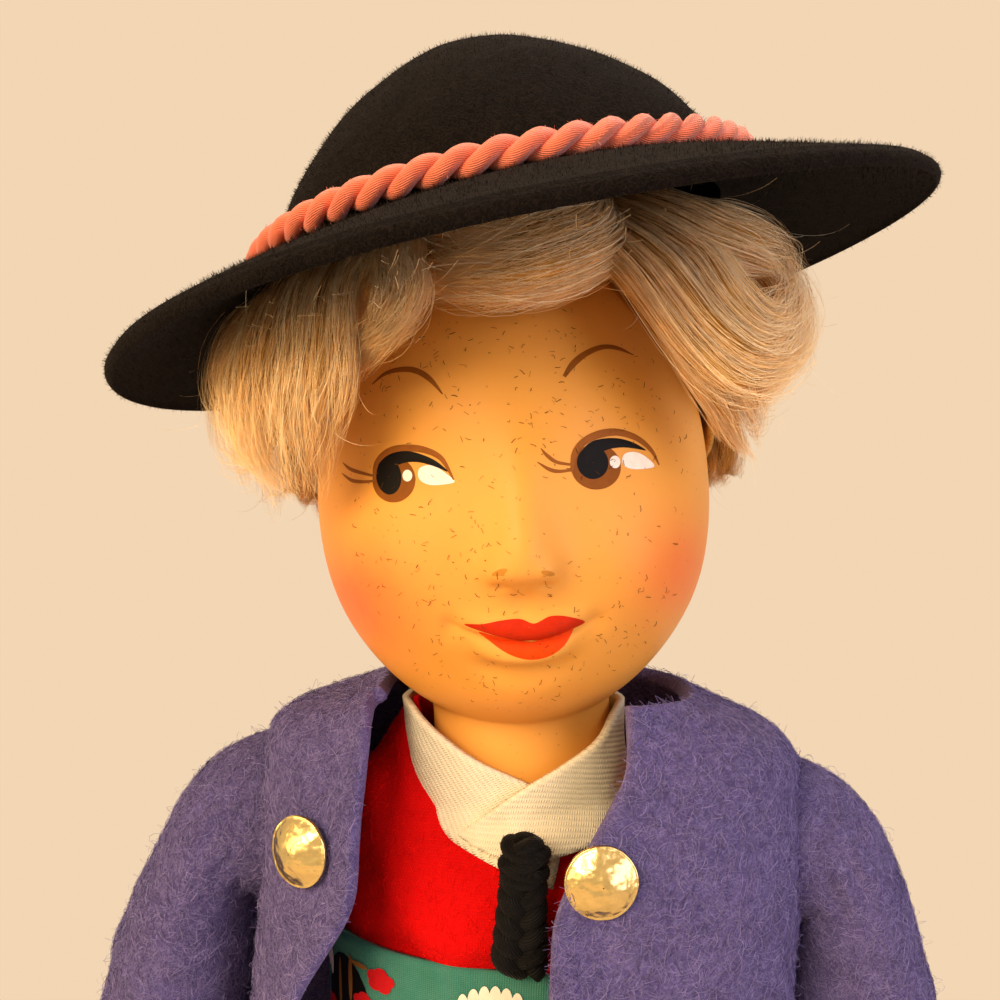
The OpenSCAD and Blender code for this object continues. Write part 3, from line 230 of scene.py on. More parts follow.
def bend(x, power):
    """A power that keeps the sign."""
    return np.sign(x) * np.abs(x) ** power


def unit(vectors):
    """The same directions, at a length of one."""
    return vectors / np.maximum(np.linalg.norm(vectors, axis=-1, keepdims=True), 1e-12)


def angles(count):
    """Equal steps round a full turn."""
    return np.arange(count) * 2 * math.pi / count


def ripples(points, wave, seed):
    """Soft noise from -1 to 1, whose broadest waves are about as long as the given length."""
    layers, waves, greatest = 3, 7, 5.5
    rng = np.random.default_rng(seed)
    total = np.zeros(points.shape[:-1])
    for layer in range(layers):
        for _ in range(waves):
            direction = unit(rng.normal(size=3)) * 2 * math.pi / wave * 2 ** layer * rng.uniform(0.6, 1.3)
            total += 0.5 ** layer * np.sin(points @ direction + rng.uniform(0, 2 * math.pi))
    return total / greatest


def rotation(axis, angle):
    return np.array(Matrix.Rotation(angle, 4, axis))


def shift(x, y, z):
    return np.array(Matrix.Translation((x, y, z)))


def place(matrix, points):
    return points @ matrix[:3, :3].T + matrix[:3, 3]


def joint_at(name):
    """A joint's place in the frame, in millimetres."""
    joint = next(j for j in frame["joints"] if j["name"] == name)
    return np.array(joint["pos_m"]) / MM


def joint_heights():
    """Heights of the hip and shoulder joints, in millimetres."""
    return joint_at("leg_left_swing")[2], joint_at("arm_left_swing")[2]


def head_matrix():
    """The head's own frame: its origin at the head's centre, its face to -Y."""
    head = bpy.context.scene.doll_head
    neck = joint_at("head_turn")
    return (shift(*neck) @ rotation("Y", -head.lean) @ rotation("Z", head.face_turn)
            @ shift(0, -head.forward / MM, head.rise / MM))


def hat_matrix():
    """The hat's own frame: its origin where the crown's axis meets the brim."""
    hat = bpy.context.scene.doll_hat
    return (head_matrix() @ shift(hat.shift / MM, hat.back / MM, hat.rise / MM)
            @ rotation("Y", -hat.roll) @ rotation("X", hat.pitch))


# Meshes from arrays


def grid(rows, columns, wrap=False):
    """Quads over a grid of points, row after row, closed round its columns if wrapped."""
    i, j = np.meshgrid(np.arange(rows - 1), np.arange(columns if wrap else columns - 1), indexing="ij")
    here, above, k = i * columns, (i + 1) * columns, (j + 1) % columns
    return np.stack([here + j, here + k, above + k, above + j], -1).reshape(-1, 4)


def facing(points, faces, inside):
    """The faces turned so that they look away from a place inside."""
    a, b, c = (points[faces[:, k]] for k in range(3))
    if np.sum(np.cross(b - a, c - a) * (a - inside)) < 0:
        return faces[:, ::-1]
    return faces


def shell(rings, inside, wrap=True):
    """A sheet over rows of points, whose faces look away from a place inside."""
    points = rings.reshape(-1, 3)
    return points, facing(points, grid(*rings.shape[:2], wrap), np.array(inside))


def join(parts):
    """Several meshes of points and quads as one."""
    points = np.concatenate([p for p, _ in parts])
    starts = np.cumsum([0] + [len(p) for p, _ in parts[:-1]])
    faces = np.concatenate([f + s for (_, f), s in zip(parts, starts)])
    return points, faces


def join_closed(parts):
    """Several closed meshes as one, each with its faces outward."""
    return join([(p, facing(p, f, p.mean(0))) for p, f in parts])


def build(name, points, faces, material, uv=None, shade=None):
    """A smooth mesh object from points in millimetres and quads."""
    mesh = bpy.data.meshes.new(name)
    faces = np.asarray(faces, np.int32)
    sides = faces.shape[1]
    mesh.vertices.add(len(points))
    mesh.vertices.foreach_set("co", (np.asarray(points, np.float64) * MM).astype(np.float32).ravel())
    mesh.loops.add(faces.size)
    mesh.loops.foreach_set("vertex_index", faces.ravel())
    mesh.polygons.add(len(faces))
    mesh.polygons.foreach_set("loop_start", np.arange(0, faces.size, sides, dtype=np.int32))
    mesh.polygons.foreach_set("use_smooth", np.full(len(faces), True))
    if uv is not None:
        layer = mesh.uv_layers.new(name="cut")
        layer.data.foreach_set("uv", np.asarray(uv, np.float32)[faces.ravel()].ravel())
    if shade is not None:
        attribute = mesh.attributes.new("shade", "FLOAT", "POINT")
        attribute.data.foreach_set("value", np.asarray(shade, np.float32).ravel())
    mesh.update(calc_edges=True)
    mesh.validate()
    mesh.materials.append(material)
    piece = bpy.data.objects.new(name, mesh)
    bpy.context.scene.collection.objects.link(piece)
    return piece


def thicken(piece, thickness, rounding=1):
    """Gives a sheet its thickness inward, and rounds its cut edges."""
    solid = piece.modifiers.new("Thickness", "SOLIDIFY")
    solid.thickness = thickness * MM
    solid.offset = -1
    solid.use_even_offset = False
    if rounding:
        soft = piece.modifiers.new("Soft edges", "SUBSURF")
        soft.levels = rounding
        soft.render_levels = rounding
    return piece


def dress(piece, body, slot, *nodes):
    """The piece rides on a body and stands for CAD nodes; its slot is not used."""
    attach(piece, body)
    if nodes:
        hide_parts(*nodes)
    return piece


def scatter(points, faces, count, rng):
    """Random places on a mesh of quads, with their normals."""
    triangles = np.concatenate([faces[:, [0, 1, 2]], faces[:, [0, 2, 3]]])
    a, b, c = (points[triangles[:, k]] for k in range(3))
    normals = np.cross(b - a, c - a)
    area = np.linalg.norm(normals, axis=1)
    pick = rng.choice(len(triangles), count, p=area / area.sum())
    s, t = np.sqrt(rng.random((count, 1))), rng.random((count, 1))
    return (1 - s) * a[pick] + s * (1 - t) * b[pick] + s * t * c[pick], unit(normals[pick])


def ribbons(lines, widths, across):
    """Flat strips along lines of points; across is the direction of each strip's width."""
    half = across * np.asarray(widths / 2)[..., None]
    count, steps = lines.shape[:2]
    points = np.stack([lines - half, lines + half], axis=2).reshape(-1, 3)
    start = ((np.arange(count) * steps * 2)[:, None] + np.arange(steps - 1) * 2).ravel()
    return points, np.stack([start, start + 1, start + 3, start + 2], 1)


def fuzz(points, faces, count, length, lift, width, seed):
    """Loose fibres that lie on a surface in low arches: points, faces and a shade for each point."""
    steps, clearance = 5, 0.03
    rng = np.random.default_rng(seed)
    base, normal = scatter(points, faces, count, rng)
    along = rng.normal(size=base.shape)
    along = unit(along - normal * np.sum(along * normal, 1, keepdims=True))
    side = np.cross(normal, along)
    s = np.linspace(-0.5, 0.5, steps)[None, :, None]
    reach = length * rng.uniform(0.3, 1.4, (count, 1, 1))
    bow = rng.normal(0, 0.5, (count, 1, 1))
    rise = lift * rng.random((count, 1, 1)) ** 3 + clearance
    lines = (base[:, None] + along[:, None] * reach * s + side[:, None] * reach * bow * (s * s - 0.1)
             + normal[:, None] * rise * (1.08 - 4 * s * s))
    roll = rng.uniform(-1.2, 1.2, (count, 1, 1))
    across = side[:, None] * np.cos(roll) + normal[:, None] * np.sin(roll)
    points, faces = ribbons(lines, width * rng.uniform(0.6, 1.3, (count, 1)), across)
    return points, faces, np.repeat(rng.random(count), steps * 2)


def loose_fibres(name, body, slot, material, surface, *layers, matrix=np.eye(4)):
    """Fibres over a surface as a piece; each layer is a count, length, lift, width and seed."""
    hairs = [fuzz(*surface, *layer) for layer in layers]
    points, faces = join([(p, f) for p, f, _ in hairs])
    shade = np.concatenate([s for _, _, s in hairs])
    return dress(build(name, place(matrix, points), faces, material, shade=shade), body, slot)


def tube(path, radius, sides):
    """A round tube along a path of points: points, faces and a UV of length and girth in millimetres."""
    tangent = unit(np.gradient(path, axis=0))
    frames = [unit(np.cross(tangent[0], [0.0, 0.0, 1.0]) + 1e-9)]
    for t in tangent[1:]:
        frames.append(unit(frames[-1] - t * (frames[-1] @ t)))
    normal = np.array(frames)
    binormal = np.cross(tangent, normal)
    radius = np.broadcast_to(np.asarray(radius, float), (len(path),))
    angle = angles(sides)
    rings = path[:, None] + radius[:, None, None] * (
        normal[:, None] * np.cos(angle)[None, :, None] + binormal[:, None] * np.sin(angle)[None, :, None])
    lengths = np.concatenate([[0], np.cumsum(np.linalg.norm(np.diff(path, axis=0), axis=1))])
    uv = np.stack(np.broadcast_arrays(lengths[:, None], angle[None] * radius.mean()), -1).reshape(-1, 2)
    return rings.reshape(-1, 3), grid(len(path), sides, wrap=True)[:, ::-1], uv


def join_tubes(tubes):
    """Several tubes as one mesh: points, faces and UV."""
    points, faces = join([(p, f) for p, f, _ in tubes])
    return points, faces, np.concatenate([uv for _, _, uv in tubes])


def loft(rings):
    """A skin over rings of equally many points, with small closed ends."""
    rings = np.asarray(rings, float)
    first, last = rings[:1].mean(1, keepdims=True), rings[-1:].mean(1, keepdims=True)
    shrink = [first + (rings[:1] - first) * k for k in (0.02, 0.6, 0.9)]
    grow = [last + (rings[-1:] - last) * k for k in (0.9, 0.6, 0.02)]
    rings = np.concatenate(shrink + [rings] + grow)
    return rings.reshape(-1, 3), grid(rings.shape[0], rings.shape[1], wrap=True)


def spun(line, sides):
    """A profile of radii and heights turned round the upright axis, a ring for each of its points."""
    t = angles(sides)
    radius, height = line[:, :1], line[:, 1:]
    return np.stack(np.broadcast_arrays(radius * np.cos(t), radius * np.sin(t), height + 0 * t), -1)


def ovals(cx, cy, z, rx, ry, sides):
    """Level oval rings, one for each height."""
    t = angles(sides)
    cx, cy, z, rx, ry = (np.broadcast_to(np.asarray(v, float), np.shape(z))[:, None]
                         for v in (cx, cy, z, rx, ry))
    return np.stack(np.broadcast_arrays(cx + rx * np.cos(t), cy + ry * np.sin(t), z), -1)


def ball(x, z, radius, rows, sides):
    """A ball on a joint, between the doll's front and back."""
    lat = np.linspace(-1.5, 1.5, rows)
    wide = radius * np.cos(lat)
    return loft(ovals(x, 0, z + radius * np.sin(lat), wide, wide, sides))


def limb_rings(rows, stops, sides):
    """Rings across a limb whose rows are stop, x, z, angle from straight down, and half sizes."""
    x, z, angle, rx, ry = (v[:, None] for v in flow(rows, stops).T)
    t, lean = angles(sides), np.radians(angle)
    return np.stack([x + rx * np.cos(t) * np.cos(lean), -ry * np.sin(t) + 0 * x,
                     z + rx * np.cos(t) * np.sin(lean)], -1)


def mirrored(points, faces, side):
    """The piece for the doll's left, or its mirror image for the right."""
    if side > 0:
        return points, faces
    return points * [-1, 1, 1], faces[:, ::-1]


# Materials


def add(tree, kind, inputs=None, out=None, **settings):
    """Adds a node with its settings, values and links, and gives its first output or the named one."""
    node = tree.nodes.new("ShaderNode" + kind)
    for name, value in settings.items():
        setattr(node, name, value)
    for name, value in (inputs or {}).items():
        if isinstance(value, bpy.types.NodeSocket):
            tree.links.new(value, node.inputs[name])
        else:
            node.inputs[name].default_value = value
    return node.outputs[out] if out else next((socket for socket in node.outputs if socket.enabled), None)


def start(name):
    """A new material, its empty node tree, and the object coordinates in metres."""
    material = bpy.data.materials.new(name)
    material.use_nodes = True
    material.node_tree.nodes.clear()
    return material, material.node_tree, add(material.node_tree, "TexCoord", out="Object")


def finish(material, inputs):
    """Ends a material with its shader."""
    shader = add(material.node_tree, "BsdfPrincipled", inputs)
    add(material.node_tree, "OutputMaterial", {"Surface": shader})
    return material


def darker(colour, factor):
    return [c * factor for c in colour[:3]] + [1.0]


def between(a, b, t):
    return [x + (y - x) * t for x, y in zip(a[:3], b[:3])] + [1.0]


def per(millimetres):
    """A texture scale, in cycles for each metre, from the size of one cycle."""
    return 1 / (millimetres * MM)


def bands(spacing):
    """A wave texture's scale on a cut in millimetres; the bands lie 0.63 of the spacing apart."""
    return 0.5 / spacing


def painted_composition(head):
    """Composition, moulded from sawdust and glue, dipped and sprayed with matt flesh paint."""
    # The paint gives a satin skin with a faint orange peel and tiny specks, and sprayed cheeks
    material, tree, where = start("painted_composition")
    pale = between(head.skin, linear("#ffedbc"), 0.08)
    cloud = add(tree, "TexNoise", {"Vector": where, "Scale": per(9), "Detail": 3.0})
    tone = add(tree, "Mix", {"Factor": cloud, "A": darker(head.skin, 0.9), "B": pale}, data_type="RGBA")
    cheek = add(tree, "Attribute", out="Fac", attribute_name="shade")
    mottle = add(tree, "TexNoise", {"Vector": where, "Scale": per(1.6), "Detail": 2.0})
    sprayed = add(tree, "Math", {0: mottle, 1: 0.35, 2: 0.82}, operation="MULTIPLY_ADD")
    strength = add(tree, "Math", {0: cheek, 1: sprayed}, operation="MULTIPLY", use_clamp=True)
    rouge = add(tree, "Mix", {"Factor": strength, "A": tone, "B": head.blush}, data_type="RGBA")
    speck = add(tree, "TexVoronoi", {"Vector": where, "Scale": per(0.9)})
    dot = add(tree, "MapRange",
              {"Value": speck, "From Min": 0.05, "From Max": 0.12, "To Min": 0.72, "To Max": 1.0})
    colour = add(tree, "Mix", {"Factor": 1.0, "A": rouge, "B": dot}, data_type="RGBA", blend_type="MULTIPLY")
    peel = add(tree, "TexNoise", {"Vector": where, "Scale": per(0.55), "Detail": 3.0})
    bump = add(tree, "Bump", {"Height": peel, "Strength": 0.12, "Distance": 0.05 * MM})
    rough = add(tree, "MapRange", {"Value": cloud, "To Min": 0.38, "To Max": 0.52})
    return finish(material, {
        "Base Color": colour, "Roughness": rough, "Normal": bump, "Specular IOR Level": 0.18,
        "Subsurface Weight": 0.08, "Subsurface Radius": (0.9 * MM, 0.4 * MM, 0.2 * MM),
        "Subsurface Scale": 1.0})


def shade_dark_composition():
    """Composition, pressed from sawdust and glue in a mould and left unpainted under the clothes."""
    # A dull dark brown with paler flecks of sawdust and a faintly rough face; it is also dark as painted
    # shade where it shows in gaps between the garments
    material, tree, where = start("shade_dark_composition")
    fleck = add(tree, "TexNoise", {"Vector": where, "Scale": per(0.6), "Detail": 4.0})
    tone = add(tree, "Mix", {"Factor": fleck, "A": linear("#2c1a10"), "B": linear("#5a3c26")},
               data_type="RGBA")
    bump = add(tree, "Bump", {"Height": fleck, "Strength": 0.3, "Distance": 0.1 * MM})
    return finish(material, {"Base Color": tone, "Normal": bump, "Roughness": 0.8})


def line_paint(name, colour, roughness):
    """Oil paint, laid on by brush over the skin, or thread as flat as paint."""
    # A thin film with a soft gloss, a little uneven in depth along the stroke
    material, tree, where = start(name)
    streak = add(tree, "TexNoise", {"Vector": where, "Scale": per(0.7), "Detail": 3.0})
    tone = add(tree, "Mix", {"Factor": streak, "A": darker(colour, 0.75), "B": darker(colour, 1.1)},
               data_type="RGBA")
    bump = add(tree, "Bump", {"Height": streak, "Strength": 0.15, "Distance": 0.03 * MM})
    return finish(material,
                  {"Base Color": tone, "Normal": bump, "Roughness": roughness, "Specular IOR Level": 0.1})


def fibre_material(name, dark, light, roughness=0.75, sheen=0.2, gloss=0.05):
    """Single fibres of wool, mohair or pile, each with its own shade."""
    # Every fibre keeps one tone along its length, so the mass looks combed and not painted
    material, tree, where = start(name)
    shade = add(tree, "Attribute", out="Fac", attribute_name="shade")
    colour = add(tree, "Mix", {"Factor": shade, "A": dark, "B": light}, data_type="RGBA")
    streak = add(tree, "TexNoise", {"Vector": where, "Scale": per(1.2), "Detail": 2.0})
    depth = add(tree, "MapRange", {"Value": streak, "To Min": 0.7, "To Max": 1.25})
    tone = add(tree, "Mix", {"Factor": 1.0, "A": colour, "B": depth}, data_type="RGBA", blend_type="MULTIPLY")
    return finish(material, {
        "Base Color": tone, "Roughness": roughness, "Specular IOR Level": gloss, "Sheen Weight": sheen,
        "Sheen Tint": between(light, linear("#ffffff"), 0.5)})


def wool_felt(name, colour, fibre, lump=2.6, strand=0.28, sheen=0.2):
    """Wool felt, wetted, rolled and pressed, with a raised nap."""
    # Matted fibres run every way, so the tone clouds softly and fine pale hairs cross it
    material, tree, where = start(name)
    cloud = add(tree, "TexNoise", {"Vector": where, "Scale": per(lump), "Detail": 4.0, "Roughness": 0.6})
    ground = add(tree, "Mix", {"Factor": cloud, "A": darker(colour, 0.55), "B": between(colour, fibre, 0.35)},
                 data_type="RGBA")
    warp = add(tree, "TexNoise", {"Vector": where, "Scale": per(1.1), "Detail": 2.0}, out="Color")
    bent = add(tree, "VectorMath", {0: warp, 1: (2.4 * MM,) * 3}, operation="MULTIPLY")
    moved = add(tree, "VectorMath", {0: where, 1: bent}, operation="ADD")
    hair = add(tree, "TexVoronoi", {"Vector": moved, "Scale": per(strand * 2.2)}, feature="DISTANCE_TO_EDGE")
    thread = add(tree, "MapRange", {
        "Value": hair, "From Min": 0.02, "From Max": 0.16, "To Min": 0.55, "To Max": 0.0})
    tone = add(tree, "Mix", {"Factor": thread, "A": ground, "B": between(colour, fibre, 0.7)},
               data_type="RGBA")
    height = add(tree, "Math", {0: cloud, 1: thread}, operation="ADD")
    bump = add(tree, "Bump", {"Height": height, "Strength": 0.55, "Distance": 0.25 * MM})
    return finish(material, {
        "Base Color": tone, "Normal": bump, "Roughness": 0.92, "Specular IOR Level": 0.04,
        "Sheen Weight": sheen, "Sheen Roughness": 0.5, "Sheen Tint": between(fibre, linear("#ffffff"), 0.3)})


def woven_cloth(name, colour, thread, slant=0.0, relief=0.4, roughness=0.85, crown_highlight_and_sheen=0.08):
    """Cotton woven on a narrow loom; a slant gives the diagonal ribs of twill."""
    # Crossing threads at their real spacing give a fine grid or ribs, with slubs in the tone; the tone also
    # follows the threads' relief, as painted shade in the hollows and painted highlight on the crowns
    material, tree, where = start(name)
    cut = add(tree, "UVMap", uv_map="cut")
    turned = add(tree, "Mapping", {"Vector": cut, "Rotation": (0, 0, slant)})
    ribs, detail = bands(thread), {"Vector": turned, "Detail": 1.0, "Detail Scale": 1.5}
    warp = add(tree, "TexWave", {**detail, "Scale": ribs, "Distortion": 0.6}, out="Fac", bands_direction="X")
    weft = add(tree, "TexWave",
               {**detail, "Scale": ribs * (0.45 if slant else 1.0), "Distortion": 0.8},
               out="Fac", bands_direction="Y")
    cross = add(tree, "Math", {0: warp, 1: weft}, operation="MULTIPLY")
    slub = add(tree, "TexNoise", {"Vector": where, "Scale": per(1.8), "Detail": 3.0})
    total = add(tree, "Math", {0: cross, 1: slub}, operation="ADD")
    spread = add(tree, "MapRange", {"Value": total, "From Max": 1.5})
    # Painted highlight: the crowns of the threads are drawn paler, towards white
    pale = between(colour, linear("#fffff9"), crown_highlight_and_sheen)
    tone = add(tree, "Mix", {"Factor": spread, "A": darker(colour, 0.72), "B": pale}, data_type="RGBA")
    bump = add(tree, "Bump", {"Height": cross, "Strength": relief, "Distance": 0.12 * MM})
    return finish(material, {
        "Base Color": tone, "Normal": bump, "Roughness": roughness, "Specular IOR Level": 0.1,
        "Sheen Weight": crown_highlight_and_sheen / 2})


def stamped_brass(colour):
    """Brass sheet, stamped to a dome and polished, now a little rubbed by use."""
    # A bright yellow metal with fine dents and a soft bloom that blurs what it mirrors
    material, tree, where = start("stamped_brass")
    dent = add(tree, "TexNoise", {"Vector": where, "Scale": per(1.4), "Detail": 2.0})
    bloom = add(tree, "TexNoise", {"Vector": where, "Scale": per(0.5), "Detail": 4.0})
    tone = add(tree, "Mix", {"Factor": bloom, "A": darker(colour, 0.72), "B": colour}, data_type="RGBA")
    rough = add(tree, "MapRange", {"Value": bloom, "To Min": 0.14, "To Max": 0.34})
    bump = add(tree, "Bump", {"Height": dent, "Strength": 0.7, "Distance": 0.3 * MM})
    return finish(material, {"Base Color": tone, "Roughness": rough, "Normal": bump, "Metallic": 1.0})


def twisted_yarn(name, colour, ply, roughness, sheen, gloss=0.4):
    """The twist shows as fine oblique lines along each strand: painted highlight on the filaments' crowns and
    painted shade in the grooves, with slubs in the tone
    """
    # The filaments catch the light in fine oblique lines along each strand
    material, tree, where = start(name)
    cut = add(tree, "UVMap", uv_map="cut")
    turned = add(tree, "Mapping", {"Vector": cut, "Rotation": (0, 0, math.radians(62))})
    line = add(tree, "TexWave", {
        "Vector": turned, "Scale": bands(ply), "Distortion": 1.2, "Detail": 2.0, "Detail Scale": 2.0},
        out="Fac")
    slub = add(tree, "TexNoise", {"Vector": where, "Scale": per(1.5), "Detail": 3.0})
    total = add(tree, "Math", {0: line, 1: slub}, operation="ADD")
    spread = add(tree, "MapRange", {"Value": total, "From Min": 0.2, "From Max": 1.5})
    tone = add(tree, "Mix", {"Factor": spread, "A": darker(colour, 0.55), "B": darker(colour, 1.3)},
               data_type="RGBA")
    bump = add(tree, "Bump", {"Height": line, "Strength": 0.6, "Distance": 0.1 * MM})
    return finish(material, {
        "Base Color": tone, "Normal": bump, "Roughness": roughness, "Specular IOR Level": gloss,
        "Sheen Weight": sheen})


def calf_leather(name, colour, roughness):
    """Thin calf leather, tanned and finished."""
    # Fine pores and creases in a soft gloss, greyer where it is rubbed
    material, tree, where = start(name)
    rubbed = between(colour, linear("#bcada2"), 0.16)
    pore = add(tree, "TexVoronoi", {"Vector": where, "Scale": per(0.45)}, feature="DISTANCE_TO_EDGE")
    rub = add(tree, "TexNoise", {"Vector": where, "Scale": per(5), "Detail": 5.0})
    tone = add(tree, "Mix", {"Factor": rub, "A": darker(colour, 0.7), "B": rubbed}, data_type="RGBA")
    rough = add(tree, "MapRange", {"Value": rub, "To Min": roughness - 0.1, "To Max": roughness + 0.15})
    bump = add(tree, "Bump", {"Height": pore, "Strength": 0.3, "Distance": 0.06 * MM})
    return finish(material, {"Base Color": tone, "Roughness": rough, "Normal": bump})


def turned_beech():
    """Beech, turned on a lathe and left bare."""
    # Pale wood with fine darker rays along the grain
    material, tree, where = start("turned_beech")
    long_grain = add(tree, "Mapping", {"Vector": where, "Scale": (1, 1, 0.15)})
    ray = add(tree, "TexNoise", {"Vector": long_grain, "Scale": per(0.6), "Detail": 4.0})
    tone = add(tree, "Mix", {"Factor": ray, "A": linear("#a97b48"), "B": linear("#d8b383")}, data_type="RGBA")
    return finish(material, {"Base Color": tone, "Roughness": 0.62})


def drawn_steel():
    """Steel wire, drawn and cut."""
    # A dull grey metal, unevenly bright along the wire
    material, tree, where = start("drawn_steel")
    line = add(tree, "TexNoise", {"Vector": where, "Scale": per(0.3), "Detail": 2.0})
    rough = add(tree, "MapRange", {"Value": line, "To Min": 0.3, "To Max": 0.5})
    return finish(material, {"Base Color": linear("#a8a7a3"), "Roughness": rough, "Metallic": 1.0})


def matt_paper():
    """Backdrop paper, pressed matt and laid on the floor."""
    # A pale warm ground with hardly any grain
    material, tree, where = start("matt_paper_floor")
    grain = add(tree, "TexNoise", {"Vector": where, "Scale": per(3), "Detail": 3.0})
    tone = add(tree, "Mix", {"Factor": grain, "A": linear("#e9d2b8"), "B": linear("#f2dcc4")},
               data_type="RGBA")
    return finish(material, {"Base Color": tone, "Roughness": 0.9})


# Head and face


def hill(u, w, u0, w0, su, sw):
    """A round rise of height one, at a place and with a spread across and up."""
    return np.exp(-((u - u0) / su) ** 2 - ((w - w0) / sw) ** 2)


def face_rise(u, w, head):
    """Height of the modelled features above the plain oval of the head."""
    nose, lip = head.nose_height / MM, head.lip_height / MM
    nose_level, mouth_level, eye_level, chin_level = -4.5, -9.8, 2.2, -14.9
    # Each form has a height, a place across and up, and a spread across and up
    middle_forms = {
        "bridge": (0.28 * nose, 0, nose_level + 4.4, 1.9, 3.4),
        "chin": (0.8, 0, chin_level, 4.2, 2.6),
        "mouth": (0.45, 0, mouth_level - 0.2, 5.4, 2.6),
        "groove over the lip": (-0.22, 0, mouth_level + 2.7, 0.75, 1.1)}
    paired_forms = {
        "wings of the nose": (0.26 * nose, 1.75, nose_level - 0.3, 0.95, 1.0),
        "nostrils": (-0.3, 1.5, nose_level - 1.35, 0.55, 0.35),
        "cheeks": (0.9, 8.6, nose_level - 1.7, 5, 4.4),
        "corners of the mouth": (-0.25, 5.1, mouth_level + 0.9, 0.7, 0.9),
        "eye hollows": (-0.5, 7.2, eye_level, 3.8, 2.9)}
    # Each bar along the smile has a height, a half length, a level over the smile and a spread
    mouth_bars = {
        "upper lip": (lip, 3.7, 0.75, 0.72), "lower lip": (1.1 * lip, 3.2, -1.05, 0.85),
        "line of the mouth": (-0.38, 4.4, -0.18, 0.26), "hollow under the lip": (-0.4, 3.4, -2.75, 0.8)}
    tip_spread = np.where(w > nose_level, 3.2, 1.75)
    rise = nose * hill(u, w, 0, nose_level, 2.3, tip_spread)
    for height, *form in middle_forms.values():
        rise += height * hill(u, w, *form)
    for height, across, *form in paired_forms.values():
        rise += height * (hill(u, w, across, *form) + hill(u, w, -across, *form))
    smile = mouth_level + 0.045 * u * u
    for height, half, level, spread in mouth_bars.values():
        rise += height * np.exp(-(u / half) ** 4) * np.exp(-((w - smile - level) / spread) ** 2)
    return rise


def head_surface(directions, head):
    """Distance of the skin from the head's centre, with the neck moulded in one."""
    u, v, w = directions[..., 0], directions[..., 1], directions[..., 2]
    tall = np.where(w > 0, head.skull_rise, head.chin_drop) / MM
    skull = 1 / np.sqrt((u / (head.width / MM / 2)) ** 2 + (v / (head.depth / MM / 2)) ** 2 + (w / tall) ** 2)
    skull = skull + np.where(v < 0, face_rise(u * skull, w * skull, head), 0) * ease(-v * 3)
    radius, forward = head.neck_diameter / MM / 2, head.forward / MM
    across = u * u + v * v + 1e-9
    ahead = v * forward
    wall = (ahead + np.sqrt(np.maximum(ahead ** 2 + across * (radius ** 2 - forward ** 2), 0))) / across
    foot = np.where(w < 0, (head.rise / MM + 2) / np.maximum(-w, 1e-6), 0)
    neck = np.where(w < -0.2, np.minimum(wall, foot), 0)
    blur = 1.1
    mixed = np.clip(0.5 + (neck - skull) / (2 * blur), 0, 1)
    return skull + (neck - skull) * mixed + blur * mixed * (1 - mixed)


def head_mesh(head):
    """The head's skin as points in its own frame, closest over the face."""
    columns, rows, crowding, pole = 360, 300, math.radians(26), 0.004
    t = angles(columns)
    lon = t - crowding * np.sin(t)
    lat = np.linspace(-math.pi / 2 + pole, math.pi / 2 - pole, rows)[:, None]
    ways = np.stack(np.broadcast_arrays(np.cos(lat) * np.sin(lon), -np.cos(lat) * np.cos(lon),
                                        np.sin(lat)), -1)
    points = ways * head_surface(ways, head)[..., None]
    return points.reshape(-1, 3), grid(rows, columns, wrap=True)


def oval_spot(u, w, ru, rw, lean=0.0):
    """Outline of an oval spot."""
    t = angles(10)
    x, y = ru * np.cos(t), rw * np.sin(t)
    return np.stack([u + x * math.cos(lean) - y * math.sin(lean),
                     w + x * math.sin(lean) + y * math.cos(lean)], 1)


# Paint of the face, across and up from the head's centre in millimetres, the doll's right below zero.
# A spot has its place, half sizes and lean, and a stroke its route and widths.

EYE_WHITES = (
    ((-6.97, 2.14), (-6.48, 2.4), (-5.77, 2.32), (-4.97, 1.72), (-4.44, 1.16), (-5.24, 1.0), (-6.3, 1.04),
     (-6.97, 1.49)),
    ((7.5, 2.4), (7.82, 2.72), (8.6, 2.76), (9.46, 2.31), (9.97, 1.72), (9.23, 1.55), (8.09, 1.58),
     (7.52, 1.93)))
IRISES = ((-8.85, 1.5, 1.62, 1.62), (5.5, 1.8, 1.84, 1.6))
PUPILS = ((-9.2, 1.75, 0.95, 1.3, 0.1), (5.25, 2.1, 1.16, 1.16))
EYE_LIGHTS = ((-7.8, 1.75, 0.36, 0.42), (6.9, 2.1, 0.4, 0.45))
EYE_LINES = (
    (((-9.7, 2.3), (-9.0, 2.85), (-8.0, 3.1), (-6.9, 2.95), (-5.8, 2.5), (-4.9, 1.9)),
     (0.9, 1.0, 0.85, 0.6, 0.4, 0.08)),
    (((4.7, 2.5), (5.4, 3.1), (6.4, 3.4), (7.5, 3.42), (8.5, 3.2), (9.3, 2.9)),
     (0.9, 1.0, 0.8, 0.6, 0.36, 0.08)))
LIDS = (
    (((-10.35, 1.5), (-10.1, 2.75), (-9.15, 3.55), (-7.8, 3.72), (-6.45, 3.48), (-5.3, 2.8), (-4.5, 1.3)),
     (0.2, 0.4, 0.5, 0.5, 0.45, 0.35, 0.1)),
    (((3.7, 1.5), (3.95, 2.75), (4.7, 3.6), (5.9, 4.1), (7.25, 4.2), (8.7, 3.75), (9.8, 2.85), (10.35, 1.8)),
     (0.2, 0.42, 0.5, 0.55, 0.5, 0.42, 0.3, 0.1)))
BROWS = (
    (((-10.3, 8.6), (-9.4, 9.2), (-8.4, 9.42), (-7.1, 9.28), (-6.0, 8.58), (-5.05, 7.35)),
     (0.1, 0.26, 0.36, 0.42, 0.38, 0.1)),
    (((3.5, 8.2), (4.25, 9.15), (5.3, 9.93), (6.55, 10.4), (7.7, 10.33), (8.9, 9.88)),
     (0.26, 0.46, 0.42, 0.36, 0.3, 0.06)))
LASH_WIDTHS = (0.16, 0.24, 0.26, 0.06)
